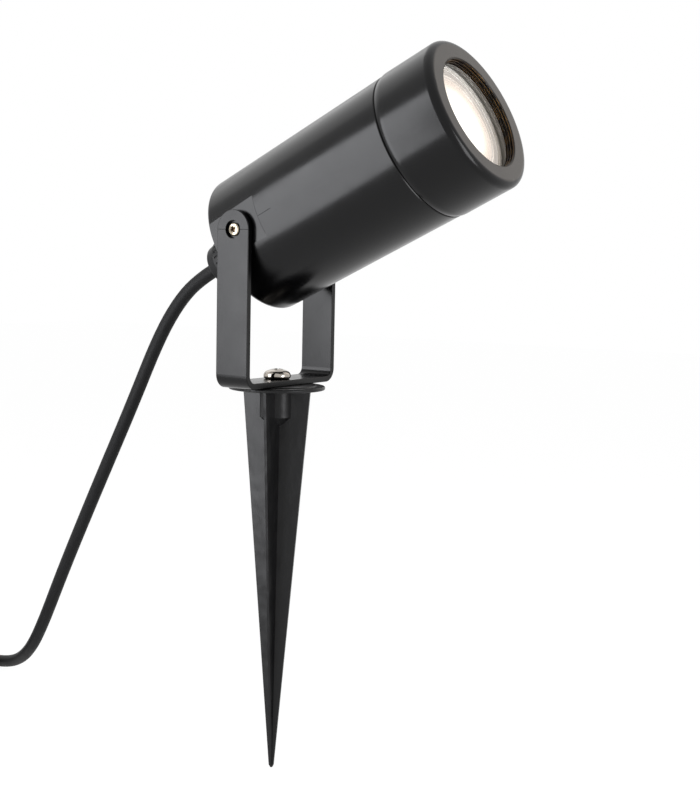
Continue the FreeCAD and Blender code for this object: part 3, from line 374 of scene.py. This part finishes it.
# Name, both ends of the middle line, width, radiance and colour.
LAMPS = [
    ("key", (-0.124, -0.408, -0.248), (-0.32, -0.335, 0.217), 0.22, 7.4, (0.955, 0.965, 1.0)),
    ("overhead", (-1.115, -0.171, 0.67), (-0.737, 0.743, 0.705), 0.5, 0.6, (1.0, 1.0, 1.0)),
    ("ahead", (0.86, -0.15, -0.40), (0.88, 0.02, 0.30), 0.34, 6.5, (0.98, 0.98, 1.0)),
    ("far_side", (0.10, 0.86, 0.50), (0.50, 0.80, 0.42), 0.55, 0.56, (1.0, 0.86, 0.73)),
]


def softbox(name, low, high, width, radiance, colour):
    """A soft light that faces the head, seen by the object but not by the camera. Its
    middle line runs between two points, given from the middle of the head."""
    middle = (Vector(low) + Vector(high)) / 2
    length = (Vector(high) - Vector(low)).length
    away = middle.normalized()
    along = Vector(high) - Vector(low)
    along = (along - away * along.dot(away)).normalized()
    data = bpy.data.lights.new(name, "AREA")
    data.shape = "RECTANGLE"
    data.size = width
    data.size_y = length
    data.energy = radiance * math.pi * width * length
    data.color = colour
    light = bpy.data.objects.new(name, data)
    bpy.context.scene.collection.objects.link(light)
    turn = Matrix((along.cross(away), along, away)).transposed()
    light.matrix_world = Matrix.Translation(head_point(HEAD_MIDDLE_S) + middle) @ turn.to_4x4()
    light.visible_camera = False


def seen_directly(tree):
    """1 for rays from the camera, or by way of gloss or glass, and otherwise 0."""
    path = tree.nodes.new("ShaderNodeLightPath")
    total = path.outputs["Is Camera Ray"]
    for name in ("Is Glossy Ray", "Is Transmission Ray"):
        most = tree.nodes.new("ShaderNodeMath")
        most.operation = "MAXIMUM"
        tree.links.new(total, most.inputs[0])
        tree.links.new(path.outputs[name], most.inputs[1])
        total = most.outputs[0]
    return total


def make_world():
    """White where it is seen directly, and a faint even light on the object."""
    world = bpy.data.worlds.new("studio")
    world.use_nodes = True
    bpy.context.scene.world = world
    tree = world.node_tree
    background = tree.nodes["Background"]
    background.inputs["Color"].default_value = (1, 1, 1, 1)
    strength = tree.nodes.new("ShaderNodeMapRange")
    strength.inputs["To Min"].default_value = WORLD_LIGHT
    strength.inputs["To Max"].default_value = 1.0
    tree.links.new(seen_directly(tree), strength.inputs["Value"])
    tree.links.new(strength.outputs[0], background.inputs["Strength"])


def make_floor():
    """A pale floor that shows white, with the object's shadow on it."""
    corners = [(-1, -1), (1, -1), (1, 1), (-1, 1)]
    points = [(x * FLOOR_HALF, y * FLOOR_HALF, FLOOR_Z) for x, y in corners]
    floor = mesh_object("floor", points, [(0, 1, 2, 3)])
    paint = bpy.data.materials.new("floor")
    paint.use_nodes = True
    tree = paint.node_tree
    shader = tree.nodes["Principled BSDF"]
    shader.inputs["Base Color"].default_value = (*FLOOR_COLOUR, 1)
    shader.inputs["Roughness"].default_value = FLOOR_ROUGHNESS
    glow = tree.nodes.new("ShaderNodeEmission")
    glow.inputs["Color"].default_value = (1, 1, 1, 1)
    glow.inputs["Strength"].default_value = FLOOR_GLOW
    share = tree.nodes.new("ShaderNodeMath")
    share.operation = "MULTIPLY"
    share.inputs[1].default_value = FLOOR_GLOW_SHARE
    mix = tree.nodes.new("ShaderNodeMixShader")
    tree.links.new(seen_directly(tree), share.inputs[0])
    tree.links.new(share.outputs[0], mix.inputs[0])
    tree.links.new(shader.outputs[0], mix.inputs[1])
    tree.links.new(glow.outputs[0], mix.inputs[2])
    tree.links.new(mix.outputs[0], tree.nodes["Material Output"].inputs["Surface"])
    floor.data.materials.append(paint)


def make_studio():
    bpy.context.scene.view_settings.view_transform = "Standard"
    make_world()
    make_floor()
    for lamp in LAMPS:
        softbox(*lamp)


make_studio()

# ---------------------------------------------------------------- materials
NOISE_LOW, NOISE_HIGH = 0.3, 0.7    # between which noise mostly stays
OVERLAY_SPECULAR = 0.2


class Paint:
    """A material whose colour, roughness and relief come from nodes."""

    def __init__(self, name, colour, roughness, **sockets):
        self.material = bpy.data.materials.new(name)
        self.material.use_nodes = True
        self.tree = self.material.node_tree
        self.shader = self.tree.nodes["Principled BSDF"]
        self.surface = self.tree.nodes["Material Output"].inputs["Surface"]
        self.colour = colour
        self.roughness = roughness
        self.shader.inputs["Base Color"].default_value = (*colour, 1)
        self.shader.inputs["Roughness"].default_value = roughness
        for socket, value in sockets.items():
            self.shader.inputs[socket.replace("_", " ")].default_value = value
        self.place = self.node("ShaderNodeTexCoord").outputs["Object"]
        self.bump = None

    def node(self, kind, **settings):
        made = self.tree.nodes.new(kind)
        for name, value in settings.items():
            setattr(made, name, value)
        return made

    def link(self, output, socket):
        self.tree.links.new(output, socket)

    def math(self, operation, a, b=None):
        """The output of a math node on sockets or numbers."""
        made = self.node("ShaderNodeMath", operation=operation)
        for socket, value in zip(made.inputs, (a, b)):
            if value is None:
                continue
            if isinstance(value, (int, float)):
                socket.default_value = value
            else:
                self.link(value, socket)
        return made.outputs[0]

    def wave(self, value, pitch):
        """A sine wave of a pitch along a value in metres."""
        return self.math("SINE", self.math("MULTIPLY", value, 2 * math.pi / pitch))

    def noise(self, size, detail=3.0, stretch=(1, 1, 1)):
        """Noise whose features are about this size, in metres."""
        mapping = self.node("ShaderNodeMapping")
        mapping.inputs["Scale"].default_value = stretch
        self.link(self.place, mapping.inputs["Vector"])
        made = self.node("ShaderNodeTexNoise")
        made.inputs["Scale"].default_value = 1 / size
        made.inputs["Detail"].default_value = detail
        self.link(mapping.outputs[0], made.inputs["Vector"])
        return made.outputs["Fac"]

    def spread(self, value, low, high, from_low=NOISE_LOW, from_high=NOISE_HIGH):
        """A value stretched to a range."""
        made = self.node("ShaderNodeMapRange")
        self.link(value, made.inputs["Value"])
        made.inputs["From Min"].default_value = from_low
        made.inputs["From Max"].default_value = from_high
        made.inputs["To Min"].default_value = low
        made.inputs["To Max"].default_value = high
        return made.outputs[0]

    def vary_roughness(self, value, amount):
        rough = self.spread(value, self.roughness - amount, self.roughness + amount)
        self.link(rough, self.shader.inputs["Roughness"])

    def mix_colour(self, factor, other):
        """Mixes the colour with another by a factor."""
        made = self.node("ShaderNodeMix", data_type="RGBA")
        self.link(factor, made.inputs["Factor"])
        made.inputs["A"].default_value = (*self.colour, 1)
        made.inputs["B"].default_value = (*other, 1)
        self.link(made.outputs["Result"], self.shader.inputs["Base Color"])

    def mottle(self, noise, share):
        """Mixes the colour with a lighter or darker one by a noise."""
        self.mix_colour(self.spread(noise, 0, 1), tuple(share * c for c in self.colour))

    def relief(self, height, depth):
        """Adds relief: a height without a unit, times a depth in metres."""
        height = self.math("MULTIPLY", height, depth)
        if self.bump is None:
            self.bump = self.node("ShaderNodeBump")
            self.bump.inputs["Distance"].default_value = 1.0
            self.link(self.bump.outputs[0], self.shader.inputs["Normal"])
        else:
            height = self.math("ADD", self.bump.inputs["Height"].links[0].from_socket, height)
        self.link(height, self.bump.inputs["Height"])

    def from_point(self, centre, operation, axis):
        """The product of the way from a centre with an axis."""
        moved = self.node("ShaderNodeVectorMath", operation="SUBTRACT")
        self.link(self.place, moved.inputs[0])
        moved.inputs[1].default_value = centre
        made = self.node("ShaderNodeVectorMath", operation=operation)
        self.link(moved.outputs[0], made.inputs[0])
        made.inputs[1].default_value = axis
        return made

    def radius(self, centre=PIVOT, axis=HEAD_AXIS):
        """Distance from an axis, by default the head's."""
        length = self.node("ShaderNodeVectorMath", operation="LENGTH")
        self.link(self.from_point(centre, "CROSS_PRODUCT", axis).outputs[0], length.inputs[0])
        return length.outputs["Value"]

    def station(self, centre=PIVOT, axis=HEAD_AXIS):
        """Distance along an axis from a point, by default along the head from the pivot."""
        return self.from_point(centre, "DOT_PRODUCT", axis).outputs["Value"]

    def axis(self, index):
        """One coordinate of the point."""
        parts = self.node("ShaderNodeSeparateXYZ")
        self.link(self.place, parts.inputs[0])
        return parts.outputs[index]

    def within(self, value, low, high):
        """1 where a value is between two limits, and otherwise 0."""
        above = self.math("GREATER_THAN", value, low)
        return self.math("MULTIPLY", above, self.math("LESS_THAN", value, high))

    def mix_shader(self, mask, other):
        """Shows another shader where the mask is 1."""
        mix = self.node("ShaderNodeMixShader")
        self.link(mask, mix.inputs[0])
        self.link(self.surface.links[0].from_socket, mix.inputs[1])
        self.link(other.outputs[0], mix.inputs[2])
        self.link(mix.outputs[0], self.surface)

    def overlay(self, mask, colour, roughness, metallic=0.0):
        """Another finish where the mask is 1. Gives the new shader."""
        other = self.node("ShaderNodeBsdfPrincipled")
        other.inputs["Base Color"].default_value = (*colour, 1)
        other.inputs["Roughness"].default_value = roughness
        other.inputs["Metallic"].default_value = metallic
        other.inputs["Specular IOR Level"].default_value = OVERLAY_SPECULAR
        self.mix_shader(mask, other)
        return other

    def witness_line(self, *masks):
        """A fine dark line where all the masks are 1."""
        mask = masks[0]
        for more in masks[1:]:
            mask = self.math("MULTIPLY", mask, more)
        self.overlay(mask, (0.001, 0.001, 0.001), roughness=0.8)


BLACK_COAT = (0.001, 0.001, 0.0012)
COAT_ROUGHNESS = 0.2
BRACKET_ROUGHNESS = 0.24
COAT_SPECULAR = 0.23


def coat(name, roughness=COAT_ROUGHNESS):
    """Satin powder coat: a fine orange peel over a smooth black."""
    paint = Paint(name, BLACK_COAT, roughness, Specular_IOR_Level=COAT_SPECULAR)
    grain = paint.noise(0.16 * MM, detail=2.0)
    paint.relief(paint.noise(0.9 * MM, detail=2.0), depth=0.004 * MM)
    paint.relief(grain, depth=0.0012 * MM)
    paint.vary_roughness(paint.noise(9 * MM, detail=4.0), 0.03)
    paint.mottle(grain, 1.5)
    return paint


def moulded(name, colour, roughness, specular=0.5, grain=0.35 * MM, depth=0.004 * MM, mottle=1.4):
    """Moulded plastic with a fine spark-eroded grain and slight flow marks."""
    paint = Paint(name, colour, roughness, Specular_IOR_Level=specular)
    paint.relief(paint.noise(grain), depth)
    flow = paint.noise(14 * MM, stretch=(1, 1, 0.3))
    paint.vary_roughness(flow, 0.05)
    paint.mottle(flow, mottle)
    return paint


def rubber(name, colour, roughness=0.62, specular=0.35):
    """Rubber or soft plastic with a fine grain and a slight bloom."""
    paint = Paint(name, colour, roughness, Specular_IOR_Level=specular)
    paint.relief(paint.noise(0.25 * MM), depth=0.006 * MM)
    bloom = paint.noise(6 * MM, detail=5.0)
    paint.vary_roughness(bloom, 0.07)
    paint.mottle(bloom, 1.6)
    return paint


def metal(name, colour, roughness, stretch=(1, 1, 1)):
    """Bare metal with fine tool marks."""
    paint = Paint(name, colour, roughness, Metallic=1.0)
    paint.relief(paint.noise(0.12 * MM, detail=4.0, stretch=stretch), depth=0.0015 * MM)
    stain = paint.noise(2.5 * MM, detail=4.0)
    paint.vary_roughness(stain, 0.04)
    paint.mottle(stain, 0.82)
    return paint


def clear_glass():
    """Clear glass, slightly smeared, that lets light through without a dark shadow."""
    paint = Paint("clear_glass", (0.985, 0.985, 0.98), 0.02, Transmission_Weight=1.0, IOR=1.5)
    paint.relief(paint.noise(6 * MM, detail=2.0), depth=0.0002 * MM)
    smear = paint.noise(5 * MM, detail=5.0)
    rough = paint.spread(smear, 0.0, 0.05, from_low=0.45, from_high=0.75)
    paint.link(rough, paint.shader.inputs["Roughness"])
    path = paint.node("ShaderNodeLightPath")
    paint.mix_shader(path.outputs["Is Shadow Ray"], paint.node("ShaderNodeBsdfTransparent"))
    return paint


LENS_R = 23.6 * MM
RING_PITCH = 0.95 * MM
RING_SWING = 0.3        # of the glow, at the outer rings
CORE_GLOW = 1.32
RIM_GLOW = 0.82

# The glow's colour by share of the lens's radius: a white middle, a peach shoulder, a thin
# bright line and a dim rim.
LENS_GLOW = [
    (0.00, (1.0, 0.97, 0.91)),
    (0.56, (1.0, 0.93, 0.84)),
    (0.69, (0.96, 0.77, 0.62)),
    (0.79, (0.72, 0.57, 0.46)),
    (0.83, (0.50, 0.41, 0.34)),
    (0.845, (1.0, 0.90, 0.78)),
    (0.865, (0.92, 0.80, 0.67)),
    (0.885, (0.42, 0.36, 0.31)),
    (1.00, (0.38, 0.335, 0.30)),
]


def lit_lens():
    """The lamp's lens: white and bright in the middle, peach and ringed towards its rim."""
    paint = Paint("lit_lens", (0.09, 0.085, 0.08), 0.12, Specular_IOR_Level=0.4)
    radius = paint.radius()
    share = paint.math("DIVIDE", radius, LENS_R)
    ramp = paint.node("ShaderNodeValToRGB")
    paint.link(share, ramp.inputs[0])
    elements = ramp.color_ramp.elements
    elements[0].color = (*LENS_GLOW[0][1], 1)
    elements[1].color = (*LENS_GLOW[-1][1], 1)
    for place, colour in LENS_GLOW[1:-1]:
        elements.new(place).color = (*colour, 1)
    swing = paint.spread(share, 0.0, RING_SWING, from_low=0.55, from_high=0.8)
    rings = paint.math("ADD", paint.math("MULTIPLY", paint.wave(radius, RING_PITCH), swing), 1.0)
    fall = paint.spread(share, CORE_GLOW, RIM_GLOW, from_low=0.45, from_high=0.74)
    paint.link(ramp.outputs[0], paint.shader.inputs["Emission Color"])
    paint.link(paint.math("MULTIPLY", rings, fall), paint.shader.inputs["Emission Strength"])
    paint.relief(paint.noise(0.8 * MM, detail=2.0), depth=0.004 * MM)
    return paint


def glowing(paint, colour, start, end, strength):
    """Painted glow that stands in for light coming through the piece, from nothing at one station
    to all at another.
    """
    paint.shader.inputs["Emission Color"].default_value = (*colour, 1)
    share = paint.spread(paint.station(), 0.0, strength, from_low=start, from_high=end)
    paint.link(share, paint.shader.inputs["Emission Strength"])


def ringed(paint, pitch, depth):
    """Fine moulded rings round the head's axis."""
    across, along = paint.wave(paint.radius(), pitch), paint.wave(paint.station(), pitch)
    paint.relief(paint.math("ADD", across, along), depth)


def striped(name, colour, other, width):
    """Insulation with a coloured stripe along it."""
    paint = Paint(name, colour, 0.38, Specular_IOR_Level=0.5)
    wave = paint.node("ShaderNodeTexWave", wave_type="BANDS", bands_direction="DIAGONAL")
    wave.inputs["Scale"].default_value = 0.2 / width
    paint.link(paint.place, wave.inputs["Vector"])
    paint.mix_colour(paint.math("GREATER_THAN", wave.outputs["Fac"], 0.6), other)
    paint.relief(paint.noise(0.4 * MM), depth=0.004 * MM)
    return paint


BOARD_PAD_PITCH = 2.2 * MM
BOARD_PAD_HALF = 0.18   # of a pad's side, as a share of the pitch


def circuit_board(name, colour, pad_colour):
    """A board with scattered square pads."""
    paint = Paint(name, colour, 0.35, Specular_IOR_Level=0.5)
    cells = paint.node("ShaderNodeTexVoronoi", distance="CHEBYCHEV", feature="F1")
    cells.inputs["Scale"].default_value = 1 / BOARD_PAD_PITCH
    paint.link(paint.place, cells.inputs["Vector"])
    pads = paint.math("LESS_THAN", cells.outputs["Distance"], BOARD_PAD_HALF)
    paint.mix_colour(pads, pad_colour)
    paint.relief(pads, depth=0.03 * MM)
    return paint


# ---------------------------------------------------------------- finishes
BORE_R = 26.8 * MM              # a little more than the body's bore
BORE_END_S = -9.6 * MM          # just behind the inside of the rear wall
TURNED_PITCH = 0.5 * MM
OPENING_R = 23.85 * MM          # a little more than the grooves in the bezel's opening
# Painted highlights in the bezel's opening: brighter bronze bands at this pitch stand in for
# glints.
GLINT_PITCH = 1.1 * MM
GLINT_FROM = 0.42                # of the painted glints' strength
NEAR_SIDE_Y = -25 * MM          # the near pivot pad lies beyond
PAD_END_S = 12.7 * MM
ARM_OUTSIDE_Y = 32.2 * MM       # just inside the arms' outer faces

# Witness lines: between which values each one lies.
LEVEL_LINE = (-0.25 * MM, -0.05 * MM)
LEVEL_LINE_REACH = (13 * MM, 20 * MM)
END_LINE = (PAD_END_S - 0.08 * MM, PAD_END_S + 0.12 * MM)
END_LINE_REACH = (-8 * MM, 8 * MM)
ARM_LINE = (PIVOT.z - 0.1 * MM, PIVOT.z + 0.1 * MM)


def cast_inside(paint):
    """Bare cast metal inside the bore, where no coat reaches, with fine turned marks."""
    inside = paint.math("LESS_THAN", paint.radius(), BORE_R)
    ahead = paint.math("GREATER_THAN", paint.station(), BORE_END_S)
    bore = paint.math("MULTIPLY", inside, ahead)
    bare = paint.overlay(bore, (0.52, 0.52, 0.51), roughness=0.42, metallic=0.7)
    bump = paint.node("ShaderNodeBump")
    bump.inputs["Distance"].default_value = 0.01 * MM
    paint.link(paint.wave(paint.station(), TURNED_PITCH), bump.inputs["Height"])
    paint.link(bump.outputs[0], bare.inputs["Normal"])


def bronze_opening(paint):
    """Dark bronze inside the ridged opening, with painted highlights: brighter bronze in broken
    bands that stands in for glints along the ridges.
    """
    inside = paint.math("LESS_THAN", paint.radius(), OPENING_R)
    paint.overlay(inside, (0.012, 0.008, 0.005), roughness=0.36)
    bands = paint.wave(paint.station(), GLINT_PITCH)
    glint = paint.math("MULTIPLY", bands, paint.noise(4 * MM))
    glints = paint.math("MULTIPLY", inside, paint.math("GREATER_THAN", glint, GLINT_FROM))
    # Painted highlights: bright bronze where the bands and the noise meet.
    paint.overlay(glints, (0.14, 0.085, 0.035), roughness=0.3, metallic=1.0)


def shaded_recess(paint, centre, axis, recess_r, floor, face):
    """Painted shade in a screw's cross recess, as a dark brown. The floor and face are distances
    along the axis from the centre."""
    inside = paint.math("LESS_THAN", paint.radius(centre, axis), recess_r)
    station = paint.math("ABSOLUTE", paint.station(centre, axis))
    mask = paint.math("MULTIPLY", inside, paint.within(station, floor, face))
    # Painted shade: dark brown metal over the recess.
    paint.overlay(mask, (0.10, 0.062, 0.035), roughness=0.5, metallic=0.6)


def darker_round_recess(paint, centre, axis, dark_r):
    """A darker brown round a screw's recess, fading out to an uneven edge."""
    uneven = 0.25 * dark_r
    edge = paint.spread(paint.noise(0.7 * MM, detail=2.0), -uneven, uneven)
    reach = paint.math("ADD", paint.radius(centre, axis), edge)
    mask = paint.spread(reach, 0.8, 0.0, from_low=0.7 * dark_r, from_high=dark_r)
    paint.overlay(mask, (0.05, 0.032, 0.019), roughness=0.4, metallic=0.8)


def dress_piece(paint, piece):
    """Gives a piece one material, in place of those it has."""
    piece.data.materials.clear()
    piece.data.materials.append(paint.material)


def dress(paint, *nodes):
    """Gives CAD nodes a material."""
    for name in nodes:
        dress_piece(paint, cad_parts[name])


def dress_body():
    """The body, with a fine line ahead of its near pad and one at the end of both pads."""
    body = coat("body_coat")
    cast_inside(body)
    near_side = body.math("LESS_THAN", body.axis(1), NEAR_SIDE_Y)
    across = body.station(PIVOT, HEAD_UP)
    station = body.station()
    level = body.within(across, *LEVEL_LINE)
    body.witness_line(near_side, level, body.within(station, *LEVEL_LINE_REACH))
    body.witness_line(body.within(station, *END_LINE), body.within(across, *END_LINE_REACH))
    dress(body, "housing")


def dress_bezel():
    bezel = coat("bezel_coat")
    bronze_opening(bezel)
    dress(bezel, "front_bezel")


def dress_bracket():
    """The bracket, with a fine line across the outside of each arm at the pivot."""
    bracket = coat("bracket_coat", BRACKET_ROUGHNESS)
    side = bracket.math("ABSOLUTE", bracket.axis(1))
    outside = bracket.math("GREATER_THAN", side, ARM_OUTSIDE_Y)
    bracket.witness_line(outside, bracket.within(bracket.axis(2), *ARM_LINE))
    dress(bracket, "bracket")


def dress_plastic():
    black = (0.004, 0.004, 0.0043)
    spike = moulded("spike_nylon", black, 0.36, specular=0.26, grain=0.5 * MM, depth=0.012 * MM)
    spike.relief(spike.noise(11 * MM, detail=2.0, stretch=(1, 1, 0.7)), depth=0.9 * MM)
    dress(spike, "spike")
    gland = moulded("gland_nylon", black, 0.38, specular=0.21)
    dress(gland, "gland_nut", "gland_body", "gland_locknut")
    dress(moulded("washer_nylon", (0.01, 0.01, 0.01), 0.4), "pivot_washers", "coil_tie")


def dress_rubber():
    seals = rubber("seal_rubber", (0.012, 0.012, 0.012))
    dress(seals, "gland_seal", "gland_sleeve", "neck_o_ring")
    silicone = rubber("gasket_silicone", (0.23, 0.223, 0.215), 0.4)
    # Painted glow: the lamp's light through the silicone near the glass.
    glowing(silicone, (1.0, 0.93, 0.84), start=95 * MM, end=99 * MM, strength=0.04)
    ringed(silicone, pitch=0.35 * MM, depth=0.02 * MM)
    dress(silicone, "glass_gasket")
    sheath = rubber("cable_sheath", (0.0055, 0.0055, 0.0057), 0.55, specular=0.15)
    dress(sheath, "cable_tail", "cable", "cable_coil")
    dress_piece(sheath, cable)


def dress_metal():
    nickel = metal("bright_nickel", (0.45, 0.41, 0.365), 0.1)
    # Painted shade in the bolt's cross recess.
    shaded_recess(nickel, Vector(), UP, recess_r=3.7 * MM, floor=5.5 * MM, face=8.3 * MM)
    dress_piece(nickel, bolt)
    screw = metal("yellow_nickel", (0.50, 0.44, 0.34), 0.16)
    darker_round_recess(screw, PIVOT, SIDE, dark_r=1.8 * MM)
    # Painted shade in the pivot screws' cross recesses.
    shaded_recess(screw, PIVOT, SIDE, recess_r=1.9 * MM, floor=31.0 * MM, face=31.86 * MM)
    dress(screw, "pivot_screws")
    steel = metal("bright_steel", (0.62, 0.61, 0.59), 0.16)
    dress(steel, "strip_screws", "terminal_fixing_screw", "earth_screw")
    strip = metal("zinc_steel", (0.62, 0.63, 0.66), 0.32, stretch=(0.1, 1, 1))
    dress(strip, "holder_strip")
    tinned = metal("tinned_copper", (0.72, 0.7, 0.66), 0.28)
    dress(tinned, "earth_lug", "end_ferrules", "holder_rivets")
    brass = metal("brass", (0.78, 0.56, 0.24), 0.22)
    dress(brass, "threaded_insert", "terminal_screws", "holder_contacts")
    dress(metal("pin_nickel", (0.72, 0.69, 0.62), 0.2), "lamp_pins")


def dress_lamp():
    """The lamp, its holder and the terminal block."""
    ceramic = moulded(
        "holder_ceramic", (0.8, 0.78, 0.72), 0.6,
        specular=0.4, grain=0.5 * MM, depth=0.01 * MM, mottle=0.93,
    )
    dress(ceramic, "lamp_holder")
    dress(moulded("white_nylon", (0.76, 0.76, 0.73), 0.45, mottle=0.95), "terminal_block")
    shell = moulded("lamp_white", (0.8, 0.79, 0.76), 0.28, mottle=0.96)
    glowing(shell, (1.0, 0.86, 0.70), start=88 * MM, end=96.6 * MM, strength=0.1)
    dress(shell, "lamp_shell")
    dress(lit_lens(), "lamp_lens")
    dress(circuit_board("light_board", (0.82, 0.82, 0.8), (0.75, 0.72, 0.62)), "lamp_led_board")
    dress(circuit_board("driver_board", (0.02, 0.16, 0.06), (0.7, 0.6, 0.3)), "lamp_driver_board")
    dress(moulded("phosphor", (0.86, 0.62, 0.08), 0.35, mottle=0.92), "led_chips")


def dress_wires():
    brown = moulded("core_brown", (0.13, 0.045, 0.015), 0.36)
    dress(brown, "tail_core_live", "holder_wire_live", "end_core_live")
    blue = moulded("core_blue", (0.015, 0.07, 0.38), 0.36)
    dress(blue, "tail_core_neutral", "holder_wire_neutral", "end_core_neutral")
    earth = striped("core_earth", (0.05, 0.26, 0.04), (0.75, 0.62, 0.03), width=1.2 * MM)
    dress(earth, "tail_core_earth", "earth_wire", "end_core_earth")


dress_body()
dress_bezel()
dress_bracket()
dress_plastic()
dress_rubber()
dress(clear_glass(), "front_glass")
dress_metal()
dress_lamp()
dress_wires()
